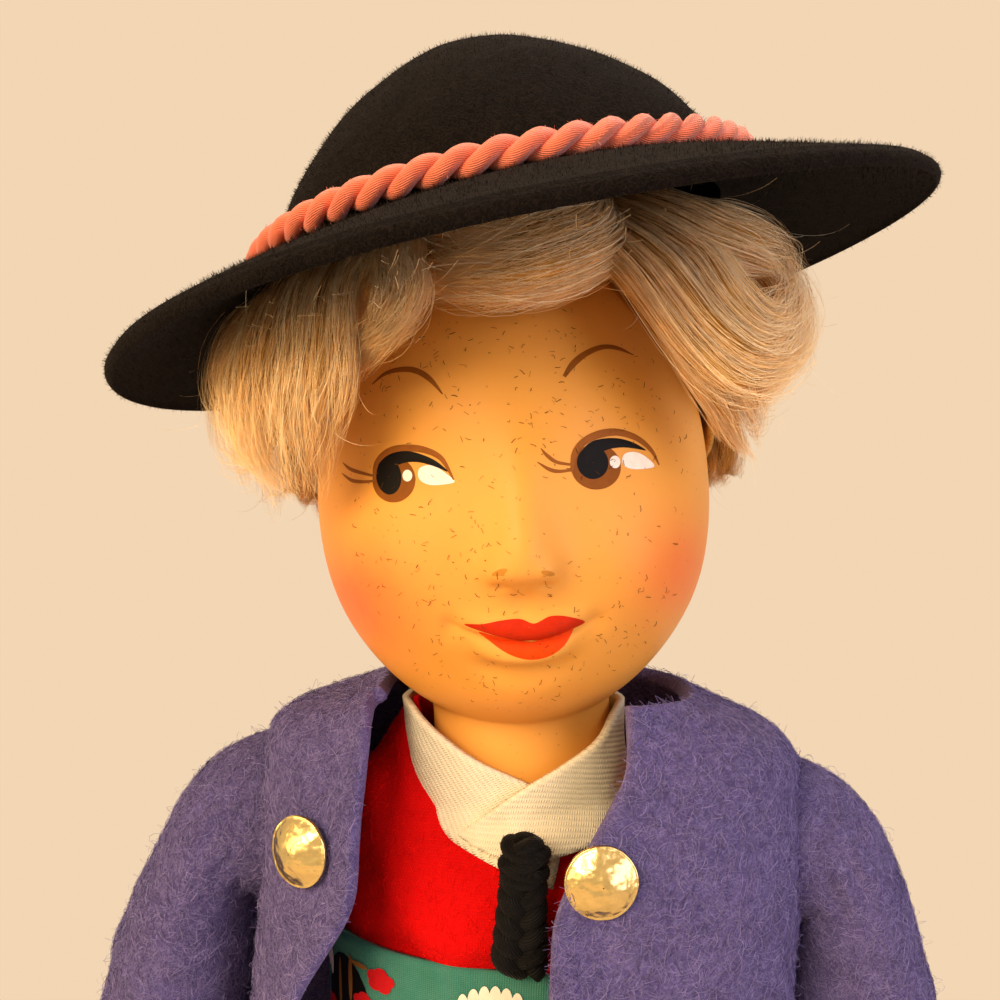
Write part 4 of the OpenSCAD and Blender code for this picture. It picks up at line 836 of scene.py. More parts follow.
LASHES = (
    ((-10.3, 1.85), (-11.4, 2.15), (-12.3, 2.5), (-12.9, 3.0)),
    ((-10.3, 1.5), (-11.3, 1.48), (-12.2, 1.65), (-13.0, 2.2)),
    ((3.75, 2.0), (2.7, 2.2), (2.05, 2.65), (1.6, 3.2)),
    ((3.75, 1.64), (2.8, 1.57), (2.1, 1.74), (1.3, 2.27)))
NOSTRILS = ((-1.6, -5.1, 0.55, 0.2, 0.35), (1.65, -5.3, 0.5, 0.18, -0.3))
UPPER_LIP = (
    (-4.2, -8.9), (-2.9, -8.85), (-1.6, -8.65), (-0.3, -8.6), (0.7, -8.95), (1.85, -8.5), (3.1, -8.6),
    (4.3, -9.1), (3.3, -9.6), (2.1, -10.05), (0.7, -10.25), (-0.7, -10.05), (-2.3, -9.6))
LOWER_LIP = (
    (-3.2, -9.45), (-2.1, -9.75), (-0.7, -10.15), (0.7, -10.35), (2.1, -10.15), (3.0, -9.8), (3.5, -9.6),
    (2.8, -10.7), (1.7, -11.4), (0.4, -11.6), (-0.9, -11.25), (-2.1, -10.5))
LINT_SPOTS = ((0, 13), (-1.5, -4), (-10, -3), (10, 6), (-4, -12), (3, 5), (-9, 8), (9, -9),
              (4, -15), (-12, 10))
# Strength, place and spread of the sprayed colour: the two cheeks, the chin and the nose
BLUSH_SPOTS = (
    (1.0, -12.6, -7.2, 5.0, 4.6), (0.8, 12.2, -6.2, 4.2, 4.0), (0.16, 0, -16, 5, 2),
    (0.12, 0, -5.2, 2.6, 1.2))


class FacePaint:
    """Thin films of paint laid on the front of the head."""

    def __init__(self, points, faces, matrix):
        self.skin = BVHTree.FromPolygons([tuple(p) for p in points], [tuple(f) for f in faces.tolist()])
        self.matrix = matrix

    def lay(self, flat, heights):
        """Points of the face, across and up in millimetres, lifted off the skin by the film's heights."""
        out = []
        for (u, w), height in zip(flat, np.broadcast_to(heights, len(flat))):
            hit, normal, _, _ = self.skin.ray_cast(Vector((u, -60, w)), Vector((0, 1, 0)))
            if hit is None:
                raise RuntimeError("A stroke of face paint misses the head")
            out.append(hit + normal * height)
        return np.array(out)

    def stroke(self, route, widths, height, steps=40, lanes=5):
        """A brush stroke along a route, whose width swells and thins."""
        last = len(route) - 1
        stations = np.linspace(0, last, steps)
        line = flow(np.column_stack([np.arange(last + 1), route]), stations)
        wide = flow(np.column_stack([np.linspace(0, last, len(widths)), widths]), stations)
        way = unit(np.gradient(line, axis=0))
        side = np.stack([-way[:, 1], way[:, 0]], 1)
        lane = np.linspace(-0.5, 0.5, lanes)
        flat = line[:, None] + side[:, None] * (np.maximum(wide, 0.03)[:, None] * lane[None, :, None])
        crown = height * (1 - 0.5 * (2 * np.abs(lane)) ** 3)
        return self.lay(flat.reshape(-1, 2), np.tile(crown, steps)), grid(steps, lanes)

    def patch(self, outline, height, rings=7, steps=64):
        """A filled spot of paint inside a smooth closed outline."""
        outline = np.asarray(outline, float)
        looped = np.vstack([outline[-2:], outline, outline[:3]])
        table = np.column_stack([np.arange(-2, len(outline) + 3), looped])
        edge = flow(table, np.arange(steps) * len(outline) / steps)
        middle = edge.mean(0)
        flat = np.concatenate([middle + (edge - middle) * k for k in np.linspace(0.02, 1, rings)])
        heights = np.repeat(np.linspace(1, 0.6, rings), steps) * height
        return self.lay(flat, heights), grid(rings, steps, wrap=True)

    def show(self, name, films, material):
        """The films of one colour as a piece of the head."""
        points, faces = join(films)
        piece = build(name, place(self.matrix, points), faces, material)
        return dress(piece, "head", "composition")


class DOLL_OT_head(bpy.types.Operator):
    """Models the head with its neck and its sprayed cheeks"""
    bl_idname = "doll.head"
    bl_label = "Head"

    def execute(self, context):
        head = context.scene.doll_head
        points, faces = head_mesh(head)
        u, v, w = points.T
        blush = sum(strength * hill(u, w, *spot) for strength, *spot in BLUSH_SPOTS) * ease(-v / 6)
        piece = build("head_skin", place(head_matrix(), points), faces,
                      painted_composition(head), shade=blush)
        dress(piece, "head", "composition", "head_shell")
        return {"FINISHED"}


class DOLL_OT_face(bpy.types.Operator):
    """Paints the eyes, lashes, brows, nostrils and lips, and scatters the lint"""
    bl_idname = "doll.face"
    bl_label = "Face paint"

    def execute(self, context):
        head = context.scene.doll_head
        paint = FacePaint(*head_mesh(head), head_matrix())
        small, large = {"rings": 4, "steps": 24}, {"rings": 14, "steps": 140}
        nostril_brown = between(head.brow, head.skin, 0.5)
        blacks = [paint.patch(oval_spot(*spot), 0.05) for spot in PUPILS]
        blacks += [paint.stroke(*line, 0.055) for line in EYE_LINES]
        browns = [paint.stroke(*line, 0.045) for line in LIDS] + [paint.stroke(*line, 0.03) for line in BROWS]
        browns += [paint.stroke(route, LASH_WIDTHS, 0.03, steps=16, lanes=3) for route in LASHES]
        for name, coat, colour, roughness, films in (
                ("eye_whites", "white_oil_paint", head.white, 0.4,
                 [paint.patch(line, 0.03) for line in EYE_WHITES]),
                ("irises", "brown_iris_paint", head.iris, 0.5,
                 [paint.patch(oval_spot(*spot), 0.03) for spot in IRISES]),
                ("pupils", "black_oil_paint", head.pupil, 0.5, blacks),
                ("brows_lids_and_lashes", "brown_line_paint", head.brow, 0.5, browns),
                ("nostril_tint", "brown_nostril_tint", nostril_brown, 0.6,
                 [paint.patch(oval_spot(*spot), 0.012, **small) for spot in NOSTRILS]),
                ("eye_lights", "white_dot_paint", head.white, 0.4,
                 [paint.patch(oval_spot(*spot), 0.075, **small) for spot in EYE_LIGHTS]),
                ("upper_lip_paint", "red_lip_paint", head.upper_lip, 0.55,
                 [paint.patch(UPPER_LIP, 0.05, **large)]),
                ("lower_lip_paint", "orange_lip_paint", head.lower_lip, 0.55,
                 [paint.patch(LOWER_LIP, 0.045, **large)])):
            paint.show(name, films, line_paint(coat, colour, roughness))
        self.lint(paint, head)
        return {"FINISHED"}

    def lint(self, paint, head):
        """Short dark fibres, shed by the hat, that lie on the skin."""
        rng = np.random.default_rng(71)
        spots, count = np.array(LINT_SPOTS), head.lint_count
        middle = spots[rng.integers(0, len(spots), count)] + rng.normal(0, (4.2, 3.4), (count, 2))
        on_face = (middle[:, 0] / 14) ** 2 + (middle[:, 1] / 17) ** 2 < 0.9
        middle = middle[on_face & (middle[:, 1] < 13.5)]
        count = len(middle)
        angle = rng.uniform(0, math.pi, count)
        half = rng.uniform(0.05, 0.24, count) * np.stack([np.cos(angle), np.sin(angle)])
        bow = rng.normal(0, 0.05, count) * np.stack([-np.sin(angle), np.cos(angle)])
        lines = np.stack([paint.lay(middle - half.T, 0.04), paint.lay(middle + bow.T, 0.1),
                          paint.lay(middle + half.T, 0.05)], 1)
        across = unit(np.cross(lines[:, 2] - lines[:, 0], np.array([0, -1.0, 0])))[:, None]
        points, faces = ribbons(lines, rng.uniform(0.02, 0.045, (count, 1)), across)
        shed = fibre_material("shed_velour_fibres", linear("#22140a"), linear("#7a4f22"),
                              roughness=0.9, sheen=0.0)
        piece = build("face_lint", place(paint.matrix, points), faces, shed,
                      shade=np.repeat(rng.random(count), 6))
        dress(piece, "head", "hat_velour")


# Hat


def brim_fall(reach, hat):
    """Droop of the brim at a distance from the hat's axis."""
    foot, edge = hat.crown_diameter / MM / 2, hat.brim_diameter / MM / 2
    return hat.brim_droop / MM * (np.maximum(0, reach - foot) / (edge - foot)) ** 1.2


def hat_outline(hat):
    """The hat's outer line from the brim's inner foot, round its edge and up the crown."""
    foot, edge, felt = hat.crown_diameter / MM / 2, hat.brim_diameter / MM / 2, hat.felt / MM
    half = felt * 0.5
    out = np.linspace(foot - felt, edge - half, 26)
    under = np.stack([out, -brim_fall(out, hat)], 1)
    t = np.radians(np.linspace(-90, 90, 11)[1:-1])
    tip = np.stack([edge - half + half * np.cos(t), half - hat.brim_droop / MM + half * np.sin(t)], 1)
    back = np.linspace(edge - half, foot + 0.8, 26)
    over = np.stack([back, felt - brim_fall(back, hat)], 1)
    k = np.sin(np.linspace(0.03, math.pi / 2 - 0.012, 42))
    crown = np.stack([foot * (1 - k ** 1.6) ** 0.6, felt + (hat.crown_height / MM - felt) * k], 1)
    return np.concatenate([under, tip, over, crown])


class DOLL_OT_hat(bpy.types.Operator):
    """Models the blocked velour hat, its pile and its twisted cord"""
    bl_idname = "doll.hat"
    bl_label = "Hat"

    def execute(self, context):
        hat = context.scene.doll_hat
        line, sides = hat_outline(hat), 220
        points, t = spun(line, sides), angles(sides)
        wave = 0.35 * np.sin(2 * t + 0.7) + 0.22 * np.sin(3 * t + 2.0)
        points[..., 2] += ease((line[:, :1] - 22) / 12) * wave
        dent = ripples(points, 14, 5) * 0.22 * ease((line[:, 1:] - 2) / 6)
        points[..., :2] *= (1 + dent / 20)[..., None]
        points[..., 2] += dent * 0.6
        points, faces = points.reshape(-1, 3), grid(len(line), sides, wrap=True)
        matrix = hat_matrix()
        felt = wool_felt("velour_felt", hat.velour, linear("#2a221c"), lump=1.6, strand=0.2, sheen=0.04)
        piece = build("hat_felt_form", place(matrix, points), faces, felt)
        dress(piece, "head", "hat_velour", "hat_felt")
        self.pile(points, faces, hat, matrix)
        self.cord(hat, matrix)
        return {"FINISHED"}

    def pile(self, points, faces, hat, matrix):
        """Short raised fibres, which blur every edge of the hat."""
        rng = np.random.default_rng(8)
        count, width, taper = hat.pile_count, 0.032, np.array([1, 0.9, 0.7, 0.3])
        steps = len(taper)
        base, normal = scatter(points, faces, count, rng)
        lean = unit(rng.normal(size=base.shape)) * 0.8
        length = hat.pile_length / MM * rng.uniform(0.5, 1.5, (count, 1, 1))
        s = np.linspace(0, 1, steps)[None, :, None]
        lines = base[:, None] + normal[:, None] * length * s + lean[:, None] * length * s ** 2
        across = unit(np.cross(normal, lean + 1e-6))[:, None]
        widths = width * rng.uniform(0.6, 1.3, (count, 1)) * taper
        fibres, strips = ribbons(lines, widths, across)
        shade = np.repeat(rng.random(count) ** 2, steps * 2)
        velour = fibre_material("velour_pile", hat.velour, linear("#3a2f26"), roughness=0.9, sheen=0.03)
        dress(build("hat_pile", place(matrix, fibres), strips, velour, shade=shade), "head", "hat_velour")

    def cord(self, hat, matrix):
        """Two rayon strands twisted round each other, at the foot of the crown."""
        thick = hat.cord_diameter / MM
        ring = hat.crown_diameter / MM / 2 + thick * 0.5
        strand, swing = thick * 0.31, thick * 0.23
        t = np.linspace(0, 2 * math.pi, 1500)
        tubes = []
        for first in (0, math.pi):
            twist = hat.cord_turns * t + first
            r = ring + swing * np.cos(twist)
            z = hat.felt / MM + thick * 0.52 + swing * np.sin(twist) + 0.3 * np.sin(2 * t + 1)
            tubes.append(tube(np.stack([r * np.cos(t), r * np.sin(t), z], 1), strand, 14))
        points, faces, uv = join_tubes(tubes)
        rayon = twisted_yarn("twisted_rayon", hat.cord, ply=0.22, roughness=0.42, sheen=0.4)
        piece = build("hat_cord_strands", place(matrix, points), faces, rayon, uv=uv)
        dress(piece, "head", "hat_cord_rayon", "hat_cord")
        hairs = fibre_material("rayon_hairs", hat.cord, linear("#f3a184"), roughness=0.5, sheen=0.3)
        loose_fibres("hat_cord_hairs", "head", "hat_cord_rayon", hairs, (points, faces),
                     (2600, 0.9, 0.3, 0.03, 12), matrix=matrix)


# Garments of the upper body


def torso_half(z):
    """Half width and half depth of the torso at a height."""
    hip, shoulder = joint_heights()
    return flow([
        (hip + 2.5, 12.9, 7.8), (hip + 9, 15.3, 9.8), (hip + 31, 14.2, 9.2), (shoulder - 8, 15, 9.5),
        (shoulder - 1, 15, 8.5), (shoulder + 1, 13.5, 7.1), (shoulder + 2.2, 11.1, 5.5)], z)


def jacket_half(z, jacket):
    """Half width and half depth of the jacket at a height."""
    hip, shoulder = joint_heights()
    x, y, flare = jacket.shoulder_edge / MM, jacket.depth / MM / 2, jacket.hem_flare / MM
    hem, hole = hip + jacket.hem_rise / MM, jacket.armhole_radius / MM
    top = shoulder + hole
    return flow([
        (hem, x + flare, y + flare * 0.4), ((hem + shoulder) / 2, x + flare * 0.5, y + flare * 0.2),
        (shoulder - hole, x, y), (shoulder, x, y - 0.4), (top, x, y - 1.7), (top + 1.1, x - 0.4, y - 2.4),
        (top + 2.6, x - 2.2, y - 3), (top + 4.3, x - 6.4, y - 3.2), (top + JACKET_NECK, 12.9, 11.3)], z)


def cut_hole(points, faces, centre, radius, reach):
    """Takes a round armhole out of a sheet at both sides, with its edge on the circle."""
    offset = points[:, 1:] - centre[1:]
    distance = np.linalg.norm(offset, axis=1)
    inside = (distance < radius) & (np.abs(points[:, 0]) > reach)
    kept = faces[~inside[faces].all(1)]
    moved = points.copy()
    scale = radius / np.maximum(distance[inside], 1e-6)
    moved[inside, 1:] = centre[1:] + offset[inside] * scale[:, None]
    return moved, kept


def even_line(line, count):
    """Equally spaced points along a line of points, and their distances along it."""
    length = np.concatenate([[0], np.cumsum(np.linalg.norm(np.diff(line, axis=0), axis=1))])
    stops = np.linspace(0, length[-1], count)
    return np.stack([np.interp(stops, length, line[:, k]) for k in range(line.shape[1])], 1), stops


def jacket_sheet(jacket):
    """The outer face of the jacket's body, open at the front: points, faces and a flat cut."""
    rows, collar_rows, columns, collar_depth = 54, 22, 230, 5.2
    hip, shoulder = joint_heights()
    hem, top = hip + jacket.hem_rise / MM, shoulder + jacket.armhole_radius / MM + JACKET_NECK
    stations = np.concatenate([np.linspace(hem, top - collar_depth, rows),
                               np.linspace(top - collar_depth, top, collar_rows + 1)[1:]])
    power, widest, neck_edge, fine = 2 / JACKET_SQUARE, 0.97, 6.4, 900
    points, cut = [], []
    for z in stations:
        rx, ry = jacket_half(z, jacket)[0]
        left = jacket.left_edge / MM
        left += (neck_edge - left) * ease((z - shoulder + 4) / (top - shoulder + 2))
        right = min(jacket.right_edge / MM + 5 * ease((shoulder - 1 - z) / 13), rx * 0.93)
        first = math.asin(min(widest, left / rx) ** (JACKET_SQUARE / 2))
        last = 2 * math.pi - math.asin(min(widest, right / rx) ** (JACKET_SQUARE / 2))
        t = np.linspace(first, last, fine)
        low = ease((shoulder - z) / (shoulder - hem))
        wave = 1 + 0.45 * low * np.cos(t * 7) / rx
        line = np.stack([rx * wave * bend(np.sin(t), power),
                         JACKET_Y - ry * wave * bend(np.cos(t), power)], 1)
        spread, stops = even_line(line, columns)
        points.append(np.column_stack([spread, np.full(columns, z)]))
        cut.append(np.column_stack([stops - stops[-1] / 2, np.full(columns, z)]))
    points, cut = np.array(points), np.array(cut)
    out = unit(points * [1, 1, 0] - [0, JACKET_Y, 0])
    near_edge = np.minimum(cut[..., 0] - cut[:, :1, 0], cut[:, -1:, 0] - cut[..., 0])
    curl = 0.7 * np.exp(-(near_edge / 2.6) ** 2)
    lumps = 0.22 * ripples(points, 9, 21) + 0.35 * ripples(points, 26, 22)
    points = points + out * (curl + lumps * ease((top - points[..., 2]) / 4))[..., None]
    # The neck edge is pressed down where the turned head's jaw comes over it
    jaw = np.linalg.norm(points[..., :2] - [-12.8, -2.2], axis=-1)
    points[..., 2] -= 0.6 * np.exp(-(jaw / 5) ** 2) * ease((points[..., 2] - top + 5) / 5)
    flat, faces = shell(points, (0, 0, shoulder - 15), wrap=False)
    flat, faces = cut_hole(flat, faces, joint_at("arm_left_swing"), jacket.armhole_radius / MM, 16)
    return flat, faces, cut.reshape(-1, 2)


def arm_root(jacket):
    """Distance from the shoulder joint to the foot of the sleeve's bend."""
    return jacket.shoulder_edge / MM - joint_at("arm_left_swing")[0] + 0.3


class DOLL_OT_jacket(bpy.types.Operator):
    """Cuts the felt jacket's body, its sleeves and its two brass buttons"""
    bl_idname = "doll.jacket"
    bl_label = "Jacket"

    def execute(self, context):
        jacket = context.scene.doll_jacket
        felt = wool_felt("pressed_wool_felt", jacket.cloth, jacket.fibre)
        fibres = fibre_material("loose_wool_fibres", darker(jacket.cloth, 0.8), jacket.fibre)
        points, faces, cut = jacket_sheet(jacket)
        piece = thicken(build("jacket_felt_body", points, faces, felt, uv=cut), jacket.felt / MM)
        dress(piece, "torso", "jacket_felt", "jacket_body")
        self.nap("jacket_nap", "torso", (points, faces), jacket.fibre_count, jacket, fibres, 31)
        for name, side in SIDES:
            self.sleeve(name, side, jacket, felt, fibres)
        self.buttons(jacket)
        return {"FINISHED"}

    def nap(self, name, body, surface, count, jacket, material, seed):
        """Loose fibres of the felt, most of them lying and a few standing."""
        long = jacket.fibre_length / MM
        loose_fibres(name, body, "jacket_felt", material, surface, (count, long, 0.22, 0.032, seed),
                     (count // 18, long, 0.9, 0.028, seed + 1))

    def sleeve(self, name, side, jacket, felt, fibres):
        """A felt sleeve from its armhole over the shoulder's bend to the cuff."""
        root, length, cuff = jacket.sleeve_root / MM, jacket.sleeve_length / MM, jacket.cuff_width / MM / 2
        first, spread = arm_root(jacket), jacket.arm_length / MM / 6
        rows = [(0, -2.0, 0, 90, root, root), (0.12, first, 0, 90, root, root)]
        # Stop, shares of the spread and the length, angle from straight down, half width, share of the root
        bent = (
            (0.26, 0.385, 0.07, 52, root * 0.82, 1.02), (0.42, 0.615, 0.262, 27, root * 0.85, 1.03),
            (0.62, 0.78, 0.47, 11, root * 0.9, 1.03), (0.82, 0.89, 0.74, 5, cuff, 1),
            (1, 0.95, 1, 4, cuff, 1))
        rows += [(stop, first + spread * x, -length * z, lean, wide, root * deep)
                 for stop, x, z, lean, wide, deep in bent]
        stops, sides, bend_length = np.linspace(0, 1, 76), 84, 14
        along, t = stops[:, None], angles(sides)
        rings = limb_rings(rows, stops, sides)
        away = unit(rings - rings.mean(1, keepdims=True))
        pucker = 0.22 * np.exp(-((along - 0.22) / 0.05) ** 2) * np.cos(t * 15 + 1)
        crease = 0.18 * np.exp(-((along - 0.62) / 0.16) ** 2) * np.sin(along * 62 + 1.2 * np.cos(t))
        lumps = 0.2 * ripples(rings, 8, 41 + side) + 0.25 * ripples(rings, 20, 44 + side)
        rings = rings + away * ((pucker + crease + lumps) * ease((along - 0.13) / 0.1))[..., None]
        points, faces = mirrored(*shell(rings, (12, 0, -18)), side)
        points = points + joint_at("arm_%s_swing" % name)
        reach = np.repeat(np.linspace(0, length + bend_length, len(stops)), sides)
        cut = np.column_stack([reach, np.tile(t * root, len(stops))])
        piece = thicken(build("sleeve_felt_" + name, points, faces, felt, uv=cut), jacket.sleeve_felt / MM)
        dress(piece, "arm_" + name, "jacket_felt", "sleeve_" + name)
        self.nap("sleeve_nap_" + name, "arm_" + name, (points, faces), jacket.sleeve_fibre_count,
                 jacket, fibres, 51 + side)

    def buttons(self, jacket):
        """Two domed buttons, each square to the jacket's curve where it is sewn on."""
        brass = stamped_brass(jacket.brass)
        radius, dome = jacket.button_diameter / MM / 2, jacket.button_dome / MM
        line = [(0.93 * k, 0.35 + dome * 0.5 * (1 - k ** 2.2)) for k in np.linspace(0.02, 1, 22)]
        line += [(0.95, 0.33), (0.98, 0.36), (1, 0.25), (1, 0.05), (0.93, -0.15), (0.5, -0.2),
                 (0.02 / radius, -0.2)]
        rings = spun(np.array(line) * [radius, 1], 72)
        rings[..., 2] += 0.08 * ripples(rings, 2.2, 61)
        points, faces = shell(rings, (0, 0, 0))
        z = joint_heights()[1] + 0.6
        rx, ry = jacket_half(z, jacket)[0]
        slope = JACKET_SQUARE - 1
        for name, x in (("left", jacket.left_edge / MM + 3.4), ("right", -jacket.right_edge / MM - 4.4)):
            share = min(1, abs(x) / rx)
            y = ry * math.cos(math.asin(share ** (JACKET_SQUARE / 2))) ** (2 / JACKET_SQUARE)
            turned = math.copysign(math.atan2(share ** slope / rx, (y / ry) ** slope / ry), x)
            matrix = (shift(x, JACKET_Y - y, z) @ rotation("Z", turned) @ rotation("X", math.pi / 2)
                      @ shift(0, 0, 0.55))
            piece = build("brass_button_" + name, place(matrix, points), faces, brass)
            dress(piece, "torso", "button_brass", "button_" + name)


def collar_point(side, a, across, lift):
    """A place on the collar's tape, by its angle from the front and its distance across the tape."""
    gap, break_at, flare = 8.2, 6.5, 0.45
    low, climb, level_from = 5.2, 5.2, 75
    level = np.where(a < level_from, low + climb * a / level_from, low + climb)
    tilt = np.arctan(np.where(a < level_from, climb / (8.6 * math.radians(level_from)), 0.0))
    w = level + across * np.cos(tilt)
    r = gap + np.maximum(0, break_at - w) * flare + lift
    angle = np.radians(a) - across * np.sin(tilt) / r
    return np.stack([side * r * np.sin(angle), -r * np.cos(angle), w], -1)


class DOLL_OT_shirt(bpy.types.Operator):
    """Makes the red waistcoat, the crossed tape collar, the yarn tie and the ribbon belt"""
    bl_idname = "doll.shirt"
    bl_label = "Waistcoat, collar, tie and belt"

    def execute(self, context):
        shirt = context.scene.doll_shirt
        self.waistcoat(shirt)
        self.collar(shirt)
        self.tie(shirt)
        self.belt(shirt)
        return {"FINISHED"}

    def waistcoat(self, shirt):
        """Red cloth from under the collar down to the belt."""
        _, shoulder = joint_heights()
        drawn_shoulder, thickness, girth_radius, hole_radius, hole_reach = 134.5, 0.5, 12, 5.2, 13
        # Distances from the middle and heights of six places down the cloth, for angles from the front
        lines = {
            0: [(9.2, 134.3), (10.9, 131.3), (11.6, 128.6), (10.7, 126.2), (10.3, 121), (9.9, 113)],
            45: [(8.4, 136.9), (11.6, 134.2), (13.2, 129.5), (12.3, 126), (12.0, 121), (11.8, 113)],
            80: [(8.3, 139.6), (10.8, 139.9), (13.6, 138), (14.8, 127), (14.6, 121), (14.4, 113)],
            180: [(8.3, 140.2), (10.2, 137), (11.0, 131), (10.6, 126), (10.2, 121), (9.9, 113)]}
        rows, columns = 64, 150
        a, s = np.linspace(-180, 180, columns, endpoint=False), np.linspace(0, 5, rows)
        table = [np.r_[angle, flow(np.column_stack([np.arange(6), line]), s).ravel()]
                 for angle, line in lines.items()]
        spread = flow(table, np.abs(a)).reshape(columns, rows, 2).transpose(1, 0, 2)
        r, z = spread[..., 0], spread[..., 1] - drawn_shoulder + shoulder
        # At the doll's right the cloth stands up beside the neck
        beside = np.exp(-((a + 92) / 30) ** 2)[None]
        r = r + 1.7 * beside * (1 - ease((s - 1.4) / 2.2))[:, None]
        z = z + 5.1 * beside * (1 - ease((s - 0.1) / 1.6))[:, None]
        t = np.radians(a)
        out = np.stack([np.sin(t), -np.cos(t), 0 * t], -1)
        points = np.stack([r * np.sin(t), -r * np.cos(t), z], -1)
        gathers = 0.25 * np.sin(t * 9)[None] * ease((131 - z) / 5) * ease((z - 124) / 3)
        points = points + out[None] * (0.16 * ripples(points, 8, 71) + gathers)[..., None]
        flat, faces = shell(points, (0, 0, shoulder - 14))
        flat, faces = cut_hole(flat, faces, joint_at("arm_left_swing"), hole_radius, hole_reach)
        cut = np.column_stack([np.tile(t * girth_radius, rows), z.ravel()])
        red = woven_cloth("brushed_red_cotton", shirt.red, thread=0.32, relief=0.15, crown_highlight_and_sheen=0.0)
        piece = thicken(build("waistcoat_cloth", flat, faces, red, uv=cut), thickness, rounding=0)
        dress(piece, "torso", "red_cloth", "waistcoat")
        nap = fibre_material("brushed_cotton_nap", shirt.red, linear("#f21812"), roughness=0.85, sheen=0.03)
        loose_fibres("waistcoat_nap", "torso", "red_cloth", nap, (flat, faces), (30000, 0.6, 0.14, 0.03, 72))

    def collar(self, shirt):
        """Cream twill tape round the neck; the doll's left end lies on top."""
        head = bpy.context.scene.doll_head
        matrix = shift(*joint_at("head_turn")) @ rotation("Y", -head.lean)
        half, thick = shirt.tape_width / MM / 2, shirt.tape_thickness / MM
        steps, lanes, pitch = 120, 15, 0.15
        across = np.linspace(-half, half, lanes)
        loop = np.repeat(np.concatenate([across, across[::-1]])[None], steps, 0)
        outer = np.repeat([1.0, 0.0], lanes)[None]
        ends = np.r_[[0] * 3, np.arange(steps), [steps - 1] * 3]
        parts, maps = [], []
        for side in (-1, 1):
            upper = side > 0
            first = self.cut_end(loop, half) if upper else 0 * loop - 16
            a = first + (181 - first) * np.linspace(0, 1, steps)[:, None]
            if upper:
                raised, over = self.narrowed(a, loop, half), thick * 1.4 * ease((75 - a) / 37)
            else:
                raised, over = loop + 0.9 * ease((a - 25) / 50), 1.3 * ease((a - 10) / 60)
            edge = 0.12 * ripples(np.stack([a * pitch, loop, 0 * a], -1), 5, 81 + side)
            sheet = collar_point(side, a, raised, over + edge + outer * thick)
            sheet[..., 2] -= self.fall(a) * upper
            parts.append(loft(sheet))
            maps.append(np.stack([a * pitch * side, raised], -1)[ends].reshape(-1, 2))
        points, faces = join_closed(parts)
        tape = woven_cloth("twill_cotton_tape", shirt.tape, thread=0.27, slant=math.radians(38), relief=0.7)
        piece = build("collar_tape_strip", place(matrix, points), faces, tape, uv=np.concatenate(maps))
        dress(piece, "torso", "twill_tape", "collar_tape")
        self.frayed_end(half, matrix, shirt)

    def cut_end(self, across, half):
        """The angle at which the upper tape is cut, over its width."""
        return -28 + 22 * (half - across) / (2 * half)

    def narrowed(self, a, across, half):
        """The upper tape's width, drawn together towards its cut end."""
        return half - (half - across) * (1 - 0.34 * ease((30 - a) / 50))

    def fall(self, a):
        """The sag of the upper tape towards its cut end."""
        return 1.3 * ease((18 - a) / 48)

    def frayed_end(self, half, matrix, shirt):
        """Short cotton threads at the cut end of the upper tape."""
        rng = np.random.default_rng(83)
        count, steps, width = 60, 4, 0.09
        across = rng.uniform(-half, half, count)
        a = self.cut_end(across, half) + 0.5
        base = collar_point(1, a, self.narrowed(a, across, half), 1.2)
        base[:, 2] -= self.fall(a)
        way = unit(np.array([-1.0, -0.15, -0.75]) + rng.normal(0, 0.3, (count, 3)))
        s = np.linspace(0, 1, steps)[None, :, None]
        lines = base[:, None] + way[:, None] * s * rng.uniform(0.1, 0.5, (count, 1, 1))
        points, faces = ribbons(lines, width, unit(np.cross(way, np.array([0, -1.0, 0.2])))[:, None])
        threads = fibre_material("cotton_threads", darker(shirt.tape, 0.85), shirt.tape)
        piece = build("collar_frayed_threads", place(matrix, points), faces, threads,
                      shade=np.repeat(rng.random(count), steps * 2))
        dress(piece, "torso", "twill_tape")

    def tie(self, shirt):
        """Black yarn: a knot over the crossing and a plaited tail that goes behind the belt."""
        thick, sides = shirt.yarn_diameter / MM, 12
        x, y, foot, knot = -0.7, -13.4, 127.3, 135.0
        s, t = np.linspace(0, 1, 90), np.linspace(0, 2 * math.pi, 60)
        tubes = []
        for strand in range(3):
            swing = 2 * math.pi * (1.7 * s + strand / 3)
            path = np.stack([x + (0.95 + 0.35 * s) * np.sin(swing),
                             y + 0.45 * np.sin(2 * swing) + 1.2 * s ** 3,
                             knot - (knot - foot) * s], 1)
            tubes.append(tube(path, thick * (0.72 + 0.1 * s), sides))
        # Height, half width and tilt of each turn of the knot
        turns = ((134.4, 1.2, 0.25), (135.0, 1.35, -0.15), (135.7, 1.4, 0.3), (136.3, 1.25, -0.3),
                 (136.8, 0.85, 0.15))
        for k, (level, wide, tilt) in enumerate(turns):
            path = np.stack([x + wide * np.cos(t), y + 0.1 + 0.95 * np.sin(t),
                             level + tilt * np.cos(t) * 1.5 + 0.2 * np.sin(2 * t + k)], 1)
            tubes.append(tube(path, thick * 0.52, sides))
        points, faces, uv = join_tubes(tubes)
        yarn = twisted_yarn("spun_black_yarn", shirt.yarn, ply=0.3, roughness=0.6, sheen=0.02, gloss=0.08)
        dress(build("tie_yarn", points, faces, yarn, uv=uv), "torso", "black_yarn", "tie")
        hairs = fibre_material("black_wool_hairs", shirt.yarn, linear("#2b251f"), roughness=0.8, sheen=0.1)
        loose_fibres("tie_hairs", "torso", "black_yarn", hairs, (points, faces), (2600, 0.9, 0.35, 0.035, 91))

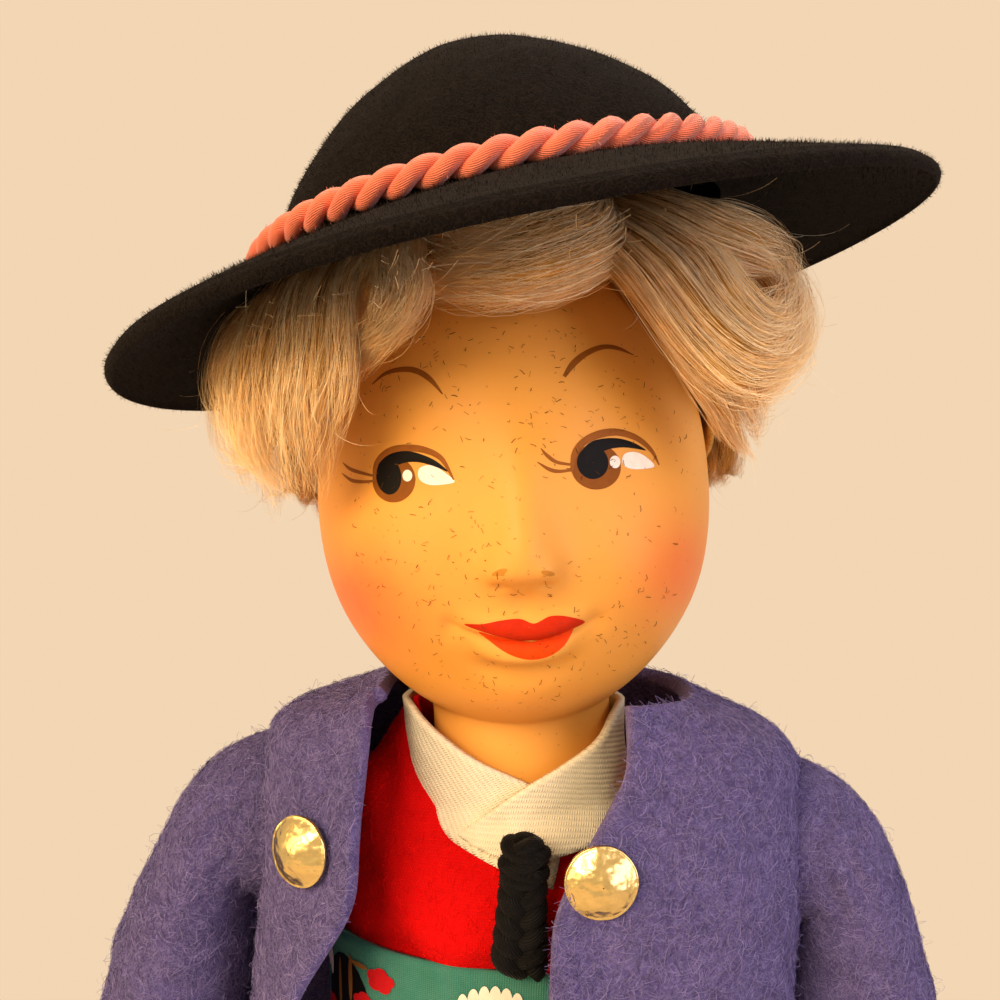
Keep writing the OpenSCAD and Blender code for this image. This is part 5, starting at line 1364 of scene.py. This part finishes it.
    def belt(self, shirt):
        """Woven ribbon round the waist with a sprig of flowers again and again."""
        hip, _ = joint_heights()
        low, wide = hip + shirt.belt_rise / MM, shirt.belt_width / MM
        rows, columns, thickness, girth_radius = 18, 160, 0.6, 13.4
        z = np.linspace(low, low + wide, rows)
        half = torso_half(z) + RIBBON_LIFT
        points, faces = shell(ovals(0, 0, z, half[:, 0], half[:, 1], columns), (0, 0, low + wide / 2))
        cut = np.column_stack([np.tile(angles(columns) * girth_radius, rows), np.repeat(z, columns)])
        ground = woven_cloth("jacquard_ribbon", shirt.ribbon, thread=0.24, relief=0.5, roughness=0.6)
        piece = thicken(build("belt_woven_ribbon", points, faces, ground, uv=cut), thickness, rounding=0)
        dress(piece, "torso", "woven_ribbon", "belt_ribbon")
        self.sprigs(shirt, low)

    def sprigs(self, shirt, low):
        """Flowers, stems and blossoms brocaded into the ribbon, above its lower edge."""
        sprigs, petals = 5, 5
        # Angle from the sprig's middle, height, and half sizes where they differ
        flowers = ((0.2, 9.0), (0.08, 6.6), (-0.3, 4.8), (0.1, 3.2))
        stems = ((-0.04, 8.2, 0.26, 1.9), (-0.16, 7.0, 0.22, 2.4), (0.04, 9.6, 0.9, 0.22),
                 (-0.1, 4.4, 1.2, 0.26), (0.2, 5.0, 0.26, 1.3))
        red, stem, cream, dark = [], [], [], []
        for sprig in range(sprigs):
            middle = -2.52 + sprig * 2 * math.pi / sprigs
            dark.append(self.sewn(middle - 0.12, low + 5.2, 3.2, 4.6, 0.03))
            for turned, rise in flowers:
                for petal in angles(petals) + rise:
                    red.append(self.sewn(middle + turned + 0.05 * math.cos(petal),
                                         low + rise + 0.5 * math.sin(petal), 0.6, 0.5))
            stem += [self.sewn(middle + turned, low + rise, ru, rz, 0.11) for turned, rise, ru, rz in stems]
            cream += [self.sewn(middle + 0.66 + 0.05 * k, low + 9.3 - 0.1 * (k - 3) ** 2, 0.36, 1.1)
                      for k in range(7)]
        for name, parts, colour in (
                ("dark_ground", dark, shirt.yarn), ("red_flowers", red, shirt.flower),
                ("brown_stems", stem, shirt.stem), ("cream_blossoms", cream, shirt.blossom)):
            thread = line_paint("brocaded_" + name, colour, roughness=0.6)
            dress(build("belt_" + name, *join(parts), thread), "torso", "woven_ribbon")

    def sewn(self, angle, z, ru, rz, lift=0.09):
        """An oval of brocaded thread on the ribbon."""
        steps, rows, waist = 20, 4, 12.5
        t, rings = angles(steps), np.linspace(0.05, 1, rows)[:, None]
        turned = angle + rings * ru * np.cos(t) / waist
        height = z + rings * rz * np.sin(t)
        half = torso_half(height.ravel()).reshape(rows, steps, 2) + RIBBON_LIFT + lift
        points = np.stack([half[..., 0] * np.cos(turned), half[..., 1] * np.sin(turned), height], -1)
        return shell(points, (0, 0, z))


# Limbs and lower garments


def rounded_end(k, first, length, least):
    """Shrinks the last rings of a limb to a round tip."""
    return np.sqrt(np.clip(1 - np.clip((k - first) / length, 0, 1) ** 2, least, 1))


class DOLL_OT_arms(bpy.types.Operator):
    """Models the two arms with their mitten hands"""
    bl_idname = "doll.arms"
    bl_label = "Arms"

    def execute(self, context):
        head, jacket = context.scene.doll_head, context.scene.doll_jacket
        skin = painted_composition(head)
        reach, spread, half, root = jacket.arm_length / MM, jacket.arm_length / MM / 6, 4.58, arm_root(jacket)
        # Stop, shares of the spread and the reach, angle from straight down, shares of the half width
        rows = [
            (0, 0, 0, 90, 0.79, 0.79), (0.1, -0.01, -0.008, 76, 0.9, 0.94),
            (0.2, 0.42, -0.05, 50, 0.82, 0.92), (0.32, 0.6, -0.165, 26, 0.86, 0.98),
            (0.48, 0.76, -0.31, 11, 0.9, 0.98), (0.64, 0.88, -0.5, 5, 0.81, 0.9),
            (0.78, 0.95, -0.69, 4, 0.66, 0.72), (0.84, 0.97, -0.77, 3, 0.59, 0.83),
            (0.93, 0.99, -0.88, 2, 0.52, 0.94), (1, 1, -0.985, 0, 0.33, 0.63)]
        table = [(s, 0 if s == 0 else root + spread * x, reach * z, a, half * rx, half * ry)
                 for s, x, z, a, rx, ry in rows]
        stops, sides = np.linspace(0, 1, 90), 56
        t = angles(sides)
        rings = limb_rings(table, stops, sides)
        grooves = np.abs(np.sin(2.0 * np.pi * np.sin(t))) ** 6 * (np.abs(np.cos(t)) > 0.25)
        fingers = 0.16 * ease((stops - 0.9) / 0.05)[:, None] * grooves
        rings -= unit(rings - rings.mean(1, keepdims=True)) * fingers[..., None]
        middle = rings.mean(1, keepdims=True)
        hand = loft(middle + (rings - middle) * rounded_end(stops, 0.93, 0.072, 0.03)[:, None, None])
        shoulder = ball(0, 0, radius=5.2, rows=28, sides=40)
        whole = join_closed([hand, self.thumb(root + spread * 0.97, reach, half), shoulder])
        for name, side in SIDES:
            points, faces = mirrored(*whole, side)
            piece = build("arm_form_" + name, points + joint_at("arm_%s_swing" % name), faces, skin)
            dress(piece, "arm_" + name, "composition", "arm_" + name)
        return {"FINISHED"}

    def thumb(self, wrist, reach, half):
        """A thumb beside the mitten hand."""
        # Stop, distance to the side, share of the reach, half width and distance to the front
        rows = [(0, -0.13, -0.775, 0.37, -0.57), (0.5, -0.24, -0.85, 0.33, -1.03),
                (1, -0.35, -0.91, 0.2, -1.18)]
        k = np.linspace(0, 1, 20)
        du, dz, wide, dy = flow(rows, k).T
        wide = half * wide * rounded_end(k, 0.8, 0.22, 0.05)
        rings = limb_rings(np.column_stack([k, wrist + half * du, reach * dz, 0 * k, wide, wide]), k, 28)
        return loft(rings + (half * dy)[:, None, None] * np.array([0, 1.0, 0]))


def leg_half(z):
    """Shift to the back and half sizes of the leg and foot at a height."""
    return flow([
        (2.6, -4.65, 3.15, 9.11), (4.4, -4.65, 3.7, 9.9), (6.6, -3.53, 3.52, 8.76),
        (9.225, -1.58, 3.22, 6.38), (11.3, 0.4, 3.31, 3.99), (15.1, 0.57, 3.11, 3.42),
        (25.4, 0.8, 3.82, 3.99), (38.5, 0.91, 4.62, 4.79), (49.2, 0.29, 4.39, 4.62), (60.7, 0, 5.13, 5.3),
        (73.8, 0, 5.7, 5.82), (LEG_TOP, 0, 5.42, 5.42)], z)


class DOLL_OT_legs(bpy.types.Operator):
    """Makes the legs with their breeches, stockings and shoes"""
    bl_idname = "doll.legs"
    bl_label = "Legs, breeches, stockings and shoes"

    def execute(self, context):
        legs = context.scene.doll_legs
        skin = painted_composition(context.scene.doll_head)
        felt = wool_felt("black_wool_felt", legs.breeches, linear("#4c4850"))
        knit = woven_cloth("knitted_cotton", legs.stocking, thread=0.55, relief=0.8)
        upper = calf_leather("blacked_calf", legs.shoe, roughness=0.36)
        sole = calf_leather("tanned_sole_leather", legs.sole, roughness=0.6)
        leg_z = np.concatenate([np.linspace(2.6, 20, 40), np.linspace(20.5, LEG_TOP, 50)])
        stocking_z = np.concatenate([np.linspace(2.2, 16, 46), np.linspace(16.5, 52, 60)])
        shoe_z = np.concatenate([np.linspace(1.9, 8, 30), np.linspace(8.2, 12.5, 16)])
        hip_ball = ball(LEG_X, LEG_TOP, radius=6.2, rows=30, sides=44)
        for name, side in SIDES:
            self.limb("leg_form_", name, side, [loft(self.skin(leg_z)), hip_ball], skin,
                      "composition", "leg_")
            self.limb("stocking_knit_", name, side, [loft(self.skin(stocking_z, over=0.7, rib=0.09))], knit,
                      "stocking_knit", "stocking_")
            self.limb("shoe_upper_", name, side, [loft(self.skin(shoe_z, over=1.7, lowest=3.8))], upper,
                      "shoe_leather", "shoe_")
            self.sole(name, side, sole)
            self.breeches(name, side, felt)
        return {"FINISHED"}

    def skin(self, z, over=0.0, rib=0.0, lowest=2.6):
        """Rings over the leg and foot, at a distance from the bare leg."""
        sides = 64
        back, rx, ry = leg_half(np.maximum(z, lowest)).T
        rings = ovals(LEG_X, back, z, rx + over, ry + over, sides)
        t = angles(sides)
        rings[..., :2] += (rib * np.cos(t * 32))[:, None] * np.stack([np.cos(t), np.sin(t)], 1)
        return rings

    def limb(self, label, name, side, parts, material, slot, node):
        """Closed forms of one leg as a piece."""
        points, faces = mirrored(*join_closed(parts), side)
        uv = np.column_stack([np.arctan2(points[:, 1], points[:, 0] - LEG_X * side) * 5, points[:, 2]])
        dress(build(label + name, points, faces, material, uv=uv), "leg_" + name, slot, node + name)

    def sole(self, name, side, material):
        """A cut sole with a rubbed edge."""
        sides, half_width, half_length = 90, 5.5, 13.25
        t = angles(sides)
        outline = np.stack([half_width * np.cos(t) * (1 - 0.1 * np.sin(t)), half_length * np.sin(t)], 1)
        rings = [np.column_stack([outline * k + [LEG_X, -4.65], np.full(sides, z)])
                 for k, z in ((0.98, 0.0), (1.0, 0.2), (1.0, 1.5), (0.98, 1.75))]
        points, faces = mirrored(*join_closed([loft(rings)]), side)
        dress(build("sole_cut_" + name, points, faces, material), "leg_" + name, "sole_leather",
              "sole_" + name)

    def breeches(self, name, side, felt):
        """Half of the breeches: a leg that widens into its half of the seat."""
        hip, _ = joint_heights()
        sides, z = 80, np.concatenate([np.linspace(47, 53, 12), np.linspace(53.6, 112.5, 80)])
        leg = flow([(47, 6.0, 6.2), (49, 6.1, 6.3), (53, 7.3, 7.8), (66, 7.45, 7.95),
                    (76, 7.6, 8.2), (90, 8, 9), (113, 8, 9)], z)
        seat = flow([(60, 15.6, 9.0), (69, 15.9, 9.0), (82, 16.9, 11.4), (91, 17.1, 11.8), (103, 16.3, 11.3),
                     (112.7, 15.4, 10.4)], z)
        middle = LEG_X - 0.4 * ease((z - 70) / 20)
        t, cx, up = angles(sides), middle[:, None], z[:, None]
        ux, uy = np.cos(t)[None], np.sin(t)[None]
        leg_r = 1 / np.sqrt((ux / leg[:, :1]) ** 2 + (uy / leg[:, 1:]) ** 2)
        # A ray from the leg's axis meets the seat's oval at a quadratic's root, or the middle seam before it
        a = (ux / seat[:, :1]) ** 2 + (uy / seat[:, 1:]) ** 2
        b = cx * ux / seat[:, :1] ** 2
        c = (cx / seat[:, :1]) ** 2 - 1
        seat_r = (-b + np.sqrt(np.maximum(b * b - a * c, 0))) / a
        seam = np.where(ux < -1e-3, (cx - 0.05) / np.maximum(-ux, 1e-3), 1e3)
        r = leg_r + (np.minimum(seat_r, seam) - leg_r) * ease((up - 68) / 14)
        rings = np.stack(np.broadcast_arrays(cx + r * ux, r * uy, up), -1)
        gathers = 0.3 * np.cos(t * 11)[None] * np.exp(-((up - 51) / 3) ** 2)
        folds = gathers + 0.25 * ripples(rings, 9, 101 + side)
        free = ease((rings[..., 0] - 0.3) / 2)
        rings = rings + unit(rings - np.stack([middle, 0 * z, z], 1)[:, None]) * (folds * free)[..., None]
        points, faces = mirrored(*shell(rings, rings.mean((0, 1))), side)
        cut = np.column_stack([np.tile(t * 8, len(z)), np.repeat(z, sides)])
        piece = build("breeches_felt_" + name, points, faces, felt, uv=cut)
        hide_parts("breeches_leg_" + name, *(["breeches_seat"] if side > 0 else []))
        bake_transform(piece)


# Wig


def scalp(lon, w, over):
    """A place over the skull, by the angle from the face, the height and the distance off the skull."""
    head = bpy.context.scene.doll_head
    lon = np.radians(lon)
    tall = np.where(w > 0, head.skull_rise, head.chin_drop) / MM + over
    half_width, half_depth = head.width / MM / 2 + over, head.depth / MM / 2 + over
    flat = np.sqrt(np.maximum(0.02, 1 - (w / tall) ** 2))
    r = flat / np.sqrt((np.sin(lon) / half_width) ** 2 + (np.cos(lon) / half_depth) ** 2)
    return np.stack([r * np.sin(lon), -r * np.cos(lon), w + 0 * r], -1)


def around(rng, count, least, greatest):
    """Random places round a lock's middle, across and out."""
    phi, depth = rng.uniform(0, 2 * math.pi, count), np.sqrt(rng.uniform(least, greatest, count))
    return np.stack([depth * np.cos(phi), depth * np.sin(phi)])


def lock_strands(route, radius, count, rng):
    """Strands of one lock, drawn together in clumps: lines, widthways directions, tones and a core."""
    steps, clumps, wide, frizz, tip = 16, 26, 1.3, 0.6, 0.35
    stations = np.linspace(0, len(route) - 1, steps)
    line = scalp(*flow(np.column_stack([np.arange(len(route)), route]), stations).T)
    way = unit(np.gradient(line, axis=0))
    out = unit(line * [1, 1, 0.6])
    out = unit(out - way * np.sum(out * way, 1, keepdims=True))
    side = np.cross(way, out)
    s = np.linspace(0, 1, steps)
    swell = radius * (0.5 + 0.5 * np.sin(np.pi * np.clip(s * 0.9 + 0.12, 0, 1)))
    swell = swell * (1 - (1 - tip) * ease((s - 0.55) / 0.45))
    clump = rng.integers(0, clumps, count)
    start_at = around(rng, count, 0.2, 1.2)
    end_at = around(rng, clumps, 0.15, 1.15)[:, clump]
    draw = 0.48 * ease(s / 0.85)
    x, y = (start_at[:, :, None] + (end_at - start_at)[:, :, None] * draw) * swell
    curl = frizz * np.sin(s * rng.uniform(4, 10, (count, 1)) + rng.uniform(0, 6.3, (count, 1))) * s
    curl = curl + 0.35 * radius * np.sin(s * 11 + rng.uniform(0, 6.3, clumps)[clump][:, None]) * s
    lines = line + side * (wide * x + curl)[..., None] + out * (y + 0.7 * curl)[..., None]
    ends = rng.uniform(0.6, 1.0, count)
    lines = np.stack([np.stack([np.interp(s * end, s, strand[:, k]) for k in range(3)], 1)
                      for strand, end in zip(lines, ends)])
    across = unit(side[None] + out[None] * rng.normal(0, 0.25, (count, 1, 1)))
    tone = 0.45 * rng.random(clumps)[clump] + 0.55 * rng.random(count)
    t = angles(12)[None, :, None]
    thick = swell * 0.5 * (1 - ease((s - 0.4) / 0.32))
    girth = side[:, None] * np.cos(t) * wide + out[:, None] * np.sin(t)
    core = line[:, None] + girth * thick[:, None, None]
    return lines, across, tone, core[:steps * 3 // 4]


def back_locks():
    """Long locks down the back, short ones over the ears, and an under layer that hides the cap."""
    def near_ear(lon, first, over):
        return float(ease((abs(lon - 180) - first) / over))

    locks = []
    for lon in range(132, 236, 13):
        rise = 4.6 * near_ear(lon, 16, 32)
        locks.append(([(lon, 16.5, 3.5), (lon + 5, 11, 5.8), (lon - 2, 5.4, 5.8), (lon + 4, 0.4 + rise, 4.4),
                       (lon, -8.4 + rise * 2, 2.4)], 2.6))
    for lon in (62, 74, 86, 274, 286, 298):
        locks.append(([(lon, 17, 3), (lon, 13, 4), (lon + 2, 10, 3.6), (lon - 1, 7.4, 2)], 1.6))
    for lon in range(97, 266, 11):
        drop = 10 - 14 * near_ear(lon, 20, 63)
        locks.append(([(lon, 9, 2.4), (lon, 4, 2.8), (lon + 2, -1 - drop / 2, 2.4),
                       (lon - 1, -drop, 1.4)], 1.5))
    return locks


# The locks of the wig, each a route and a radius. A place on a route is the angle from the face, the height
# and the distance off the skull.
LOCKS = {
    "fringe": [
        ([(27, 18.8, 3), (21, 16.6, 4.8), (10, 14.9, 4.3), (-3, 14.4, 3.8), (-14, 14.7, 3.1),
          (-24, 15, 2.2)], 1.5),
        ([(27, 20, 3.4), (21, 17.6, 5.1), (7, 15.5, 5), (-5, 14.9, 4.7), (-19, 15.2, 3.5),
          (-25, 15.6, 3)], 2.0),
        ([(25, 21.4, 3.6), (18, 18.8, 5.2), (4, 17.3, 5.2), (-9, 16.5, 5), (-20, 16.5, 4.1)], 2.1),
        ([(18, 22.4, 3.6), (10, 20.6, 5), (-1, 19.3, 5.2), (-12, 18.4, 5), (-24, 17.9, 4.4)], 2.0),
        ([(26, 17.4, 3), (22, 15.8, 3.8), (11, 14.2, 3.7), (2, 13.8, 3), (-7, 14.1, 2.2)], 0.8),
        ([(-25, 18.6, 4.6), (-23, 16.3, 5.4), (-20, 14.1, 5.9), (-22, 11.9, 6), (-28, 10.3, 5),
          (-38, 8.8, 3.4)], 1.3),
        ([(-29, 18.2, 5), (-26, 16, 5.5), (-23, 13.8, 6), (-25, 11.6, 5.8), (-32, 10.3, 4.8),
          (-40, 8.4, 3.5)], 1.2),
        ([(-32, 19, 4), (-33, 16, 5), (-36, 13, 5), (-40, 10, 4)], 1.8)],
    "left": [
        ([(24, 19, 3), (27, 15.2, 5.6), (32, 10, 6.7), (39, 7.3, 7.8), (49, 8.6, 9), (58, 12, 10),
          (70, 16, 10.6)], 1.8),
        ([(27, 19.8, 3.4), (31, 15.6, 6.6), (35, 11.3, 7.7), (42, 9.3, 8.6), (50, 10.7, 9.6),
          (58, 13.9, 10.5), (66, 17, 10.6)], 1.9),
        ([(31, 20.4, 4), (37, 16.7, 7.6), (39, 12.8, 8.7), (44, 11.2, 9.4), (51, 12.8, 10.2),
          (57, 15.6, 10.4)], 1.8),
        ([(34, 21, 4), (37, 17.7, 7.3), (43, 16.5, 8.7), (51, 15.6, 9.7), (54, 14.1, 10.1)], 1.9),
        ([(38, 21.6, 4.4), (42, 18.5, 8.2), (50, 17.8, 9.6), (60, 17.3, 10.7), (61, 15, 10.8)], 2.1),
        ([(26, 17.4, 3.4), (30, 13.7, 5.1), (34, 9.4, 5.3), (39, 6.2, 4.9), (43, 3.6, 4.3)], 1.1),
        ([(31, 11.6, 5.6), (35, 8.3, 5.9), (40, 5.9, 5.8), (45, 3.6, 5.4), (52, 2.5, 4.9)], 1.4),
        ([(41, 9.6, 7.6), (43, 7, 7.4), (46, 5.2, 6.9), (50, 3.3, 5.7)], 1.6),
        ([(56, 20, 6), (60, 15.5, 8.6), (60, 11.5, 8.6), (58, 8, 6.6), (56, 5.5, 4.6)], 2.6),
        ([(72, 20, 6), (78, 16.5, 9), (80, 12.8, 9), (76, 9.4, 7), (72, 7, 4.6)], 2.8),
        ([(90, 19, 7), (97, 15.5, 9.4), (100, 11.6, 9.4), (97, 8, 7.6), (92, 6, 5)], 3.0),
        ([(108, 18, 7), (116, 14, 8), (120, 9.6, 8), (118, 5.6, 6), (112, 3, 3.6)], 2.8)],
    "right": [
        ([(-37, 17, 5), (-35, 14.6, 6), (-33, 11.1, 6.2), (-34, 7.6, 5.6), (-40, 4.4, 4.1),
          (-47, 1.4, 2.9)], 1.2),
        ([(-42, 17, 5.4), (-40, 14.5, 6.2), (-37, 10.8, 6.7), (-38, 7.1, 6.4), (-40, 3.8, 5.2),
          (-47, 0.6, 3.3)], 1.5),
        ([(-48, 17, 5.6), (-45, 14.5, 6.5), (-43, 10.7, 7.1), (-43, 7, 7.1), (-44, 3.5, 5.7),
          (-48, 0.3, 3.7)], 1.7),
        ([(-54, 16.6, 6), (-51, 14.2, 6.8), (-49, 10.6, 7.5), (-49, 6.9, 7.5), (-50, 3.4, 6.4),
          (-49, 0.3, 4.1)], 1.9),
        ([(-60, 16.4, 6), (-55, 13.9, 7.1), (-54, 10.4, 7.8), (-55, 6.9, 7.8), (-54, 3.6, 7),
          (-52, 0.7, 4.6)], 1.9),
        ([(-68, 15.6, 6.4), (-62, 13.5, 7.4), (-61, 10.4, 8.2), (-62, 7.4, 8.2), (-61, 4.7, 7.4)], 1.4),
        ([(-72, 17, 5), (-74, 13.2, 7.4), (-75, 9.4, 7.6), (-71, 5.8, 6.2), (-66, 3.4, 4.4)], 2.5),
        ([(-86, 16.6, 5), (-91, 12.6, 7.8), (-93, 8, 8), (-89, 4.4, 6.8), (-83, 2.2, 4.8)], 2.8),
        ([(-102, 16.4, 5), (-109, 11.8, 7.8), (-112, 6.6, 8), (-108, 2.4, 6.8), (-101, 0, 4.4)], 2.9),
        ([(-118, 16.5, 4.6), (-125, 12, 6.6), (-128, 7.4, 6.6), (-124, 3.6, 4.8), (-118, 1.4, 3)], 2.5)],
    "back": back_locks()}


class DOLL_OT_wig(bpy.types.Operator):
    """Combs the mohair wig lock by lock over its cloth cap"""
    bl_idname = "doll.wig"
    bl_label = "Wig"

    def execute(self, context):
        wig = context.scene.doll_wig
        rng = np.random.default_rng(17)
        hair = fibre_material("combed_mohair", wig.dark, wig.light, roughness=0.42, sheen=0.0, gloss=0.2)
        # Painted shade: the cores inside the locks are darker than any strand, where more hair lies in its
        # own shadow
        under = fibre_material("mohair_shade_filler", darker(wig.dark, 0.4), darker(wig.dark, 0.7),
                               roughness=0.8, sheen=0.0)
        matrix = head_matrix()
        for name, locks in LOCKS.items():
            combed = [lock_strands(route, radius, wig.strands_per_lock, rng) for route, radius in locks]
            lines, across, tone = (np.concatenate([lock[k] for lock in combed]) for k in range(3))
            count, steps = lines.shape[:2]
            widths = wig.strand_width / MM * rng.uniform(0.6, 1.3, (count, 1)) * np.linspace(1, 0.4, steps)
            loose, loose_tone = self.flyaways(lines, wig.flyaway_count, rng)
            points, faces = join([ribbons(lines, widths, across), loose])
            shade = np.concatenate([np.repeat(tone, steps * 2), loose_tone])
            piece = build("mohair_" + name, place(matrix, points), faces, hair, shade=shade)
            dress(piece, "head", "mohair", "wig_" + name)
            # Each lock's core, a dark mass of painted shade inside it
            points, faces = join_closed([loft(lock[3]) for lock in combed])
            core = build("mohair_shade_core_" + name, place(matrix, points), faces, under,
                         shade=rng.random(len(points)))
            dress(core, "head", "mohair")
        self.cap(wig, matrix)
        return {"FINISHED"}

    def flyaways(self, lines, count, rng):
        """Single hairs that leave the locks in loose curves: their mesh and tones."""
        steps, width = 12, 0.03
        row, at = rng.integers(0, len(lines), count), rng.integers(3, lines.shape[1] - 2, count)
        base = lines[row, at]
        way = unit(lines[row, at + 1] - lines[row, at - 1])
        out = unit(base)
        swing = np.cross(way, out) * rng.normal(0, 0.5, (count, 1)) + out * rng.uniform(0.1, 0.6, (count, 1))
        s = np.linspace(0, 1, steps)[None, :, None]
        reach = rng.uniform(2, 6, (count, 1, 1))
        hairs = base[:, None] + reach * (way[:, None] * (s - 0.3 * s ** 3) + swing[:, None] * s ** 1.6)
        mesh = ribbons(hairs, width, unit(np.cross(way, out))[:, None])
        return mesh, np.repeat(rng.uniform(0.5, 1, count), steps * 2)

    def cap(self, wig, matrix):
        """The cloth cap that the mohair is sewn to."""
        columns, top, inner, outer = 120, 22.6, 0.5, 0.95
        lon = np.arange(columns) * 360 / columns - 180
        low = flow([(-1, 17.5), (30, 17), (55, 9), (85, 4), (125, -1), (181, -6)], np.abs(lon))[:, 0]
        rise = np.linspace(0, 1, 26)[:, None]
        w = low + (top - low) * np.sin(rise * math.pi / 2)
        rings = np.concatenate([scalp(lon + 0 * rise, w, inner)[::-1], scalp(lon + 0 * rise, w, outer)])
        points, faces = shell(rings, (0, 0, 5))
        cloth = wool_felt("buckram_cap_cloth", darker(wig.dark, 0.6), wig.dark)
        dress(build("wig_cap_cloth", place(matrix, points), faces, cloth), "head", "wig_cloth", "wig_cap")


# Hidden pieces and the stage


class DOLL_OT_inner_pieces(bpy.types.Operator):
    """Gives the torso, the pegs and the axle their finishes"""
    bl_idname = "doll.inner_pieces"
    bl_label = "Torso, pegs and axle"

    def execute(self, context):
        # The torso's unpainted composition is kept dark as painted shade, so that it reads as shadow between
        # the garments
        dark_as_shade, beech, steel = shade_dark_composition(), turned_beech(), drawn_steel()
        finishes = {"torso_front": dark_as_shade, "torso_back": dark_as_shade, "hip_axle": steel, "neck_peg": beech,
                    "arm_peg_left": beech, "arm_peg_right": beech}
        for name, material in finishes.items():
            node = frame["nodes"][name]
            node.data.materials.clear()
            node.data.materials.append(material)
        return {"FINISHED"}


class DOLL_OT_stage(bpy.types.Operator):
    """Sets the floor, the soft studio light and the camera"""
    bl_idname = "doll.stage"
    bl_label = "Stage"

    def execute(self, context):
        scene = context.scene
        scene.world = self.studio()
        self.floor()
        self.lights(scene)
        self.camera(scene)
        scene.view_settings.view_transform = "Standard"
        return {"FINISHED"}

    def studio(self):
        """A world that shows a warm backdrop and lights with a soft cream."""
        world = bpy.data.worlds.new("studio")
        world.use_nodes = True
        tree = world.node_tree
        tree.nodes.clear()
        rays = add(tree, "LightPath").node.outputs
        shown = add(tree, "Math", {0: rays["Is Camera Ray"], 1: rays["Is Glossy Ray"]}, operation="MAXIMUM")
        shown = add(tree, "Math", {0: shown, 1: rays["Is Transmission Ray"]}, operation="MAXIMUM")
        backdrop = add(tree, "Background", {"Color": linear("#f3d6b4"), "Strength": 1.0})
        soft = add(tree, "Background", {"Color": linear("#fff0de"), "Strength": 0.36})
        mixed = add(tree, "MixShader", {0: shown, 1: soft, 2: backdrop})
        add(tree, "OutputWorld", {"Surface": mixed})
        return world

    def floor(self):
        """A round sheet of paper just under the soles."""
        rows, sides, radius, drop = 8, 96, 240, 0.02
        line = np.column_stack([np.linspace(0.01, radius, rows), np.full(rows, -drop)])
        build("floor", *shell(spun(line, sides), (0, 0, -1)), matt_paper())

    def lights(self, scene):
        """Four soft boxes, aimed at the doll's head."""
        target = Vector((0, 0, 0.15))
        for name, where, power, wide, colour in (
                ("key_light", (-0.34, -0.56, 0.48), 5.2, 0.36, "#ffe8c6"),
                ("side_light", (-0.56, -0.3, 0.2), 2.6, 0.4, "#ffd596"),
                ("fill_light", (0.52, -0.36, 0.24), 2.8, 0.5, "#efe6fb"),
                ("top_light", (0.05, 0.15, 0.6), 1.2, 0.5, "#fff2e4")):
            lamp = bpy.data.lights.new(name, "AREA")
            lamp.energy, lamp.size, lamp.color = power, wide, linear(colour)[:3]
            light = bpy.data.objects.new(name, lamp)
            light.location = where
            light.rotation_euler = (target - Vector(where)).to_track_quat("-Z", "Y").to_euler()
            scene.collection.objects.link(light)

    def camera(self, scene):
        """The photograph's view: close, almost level, and rolled a little."""
        lens = bpy.data.cameras.new("camera")
        lens.sensor_width, lens.lens, lens.clip_start = 36, 39.6, 0.001
        camera = bpy.data.objects.new("camera", lens)
        matrix = Matrix.Translation((-0.00335, -0.0943, 0.1629))
        for degrees, axis in ((0.32, "Z"), (-0.49, "X"), (-2.81, "Y"), (90, "X")):
            matrix = matrix @ Matrix.Rotation(math.radians(degrees), 4, axis)
        camera.matrix_world = matrix
        scene.collection.objects.link(camera)
        scene.camera = camera


class DOLL_PT_panel(bpy.types.Panel):
    """Lists the steps that dress the doll"""
    bl_idname = "DOLL_PT_panel"
    bl_label = "Costume Doll"
    bl_space_type = "VIEW_3D"
    bl_region_type = "UI"
    bl_category = "Doll"

    def draw(self, context):
        for step in STEPS:
            self.layout.operator(step.bl_idname)


GROUPS = {"doll_head": DollHead, "doll_hat": DollHat, "doll_jacket": DollJacket, "doll_shirt": DollShirt,
          "doll_wig": DollWig, "doll_legs": DollLegs}
STEPS = (DOLL_OT_head, DOLL_OT_face, DOLL_OT_hat, DOLL_OT_wig, DOLL_OT_jacket, DOLL_OT_shirt, DOLL_OT_arms,
         DOLL_OT_legs, DOLL_OT_inner_pieces, DOLL_OT_stage)


def register():
    for cls in (*GROUPS.values(), *STEPS, DOLL_PT_panel):
        bpy.utils.register_class(cls)
    for name, cls in GROUPS.items():
        setattr(bpy.types.Scene, name, bpy.props.PointerProperty(type=cls))


def unregister():
    for name in GROUPS:
        delattr(bpy.types.Scene, name)
    for cls in (DOLL_PT_panel, *reversed(STEPS), *reversed(GROUPS.values())):
        bpy.utils.unregister_class(cls)


def main():
    register()
    bpy.ops.doll.head()
    bpy.ops.doll.face()
    bpy.ops.doll.hat()
    bpy.ops.doll.wig()
    bpy.ops.doll.jacket()
    bpy.ops.doll.shirt()
    bpy.ops.doll.arms()
    bpy.ops.doll.legs()
    bpy.ops.doll.inner_pieces()
    bpy.ops.doll.stage()


if __name__ == "__main__":
    main()
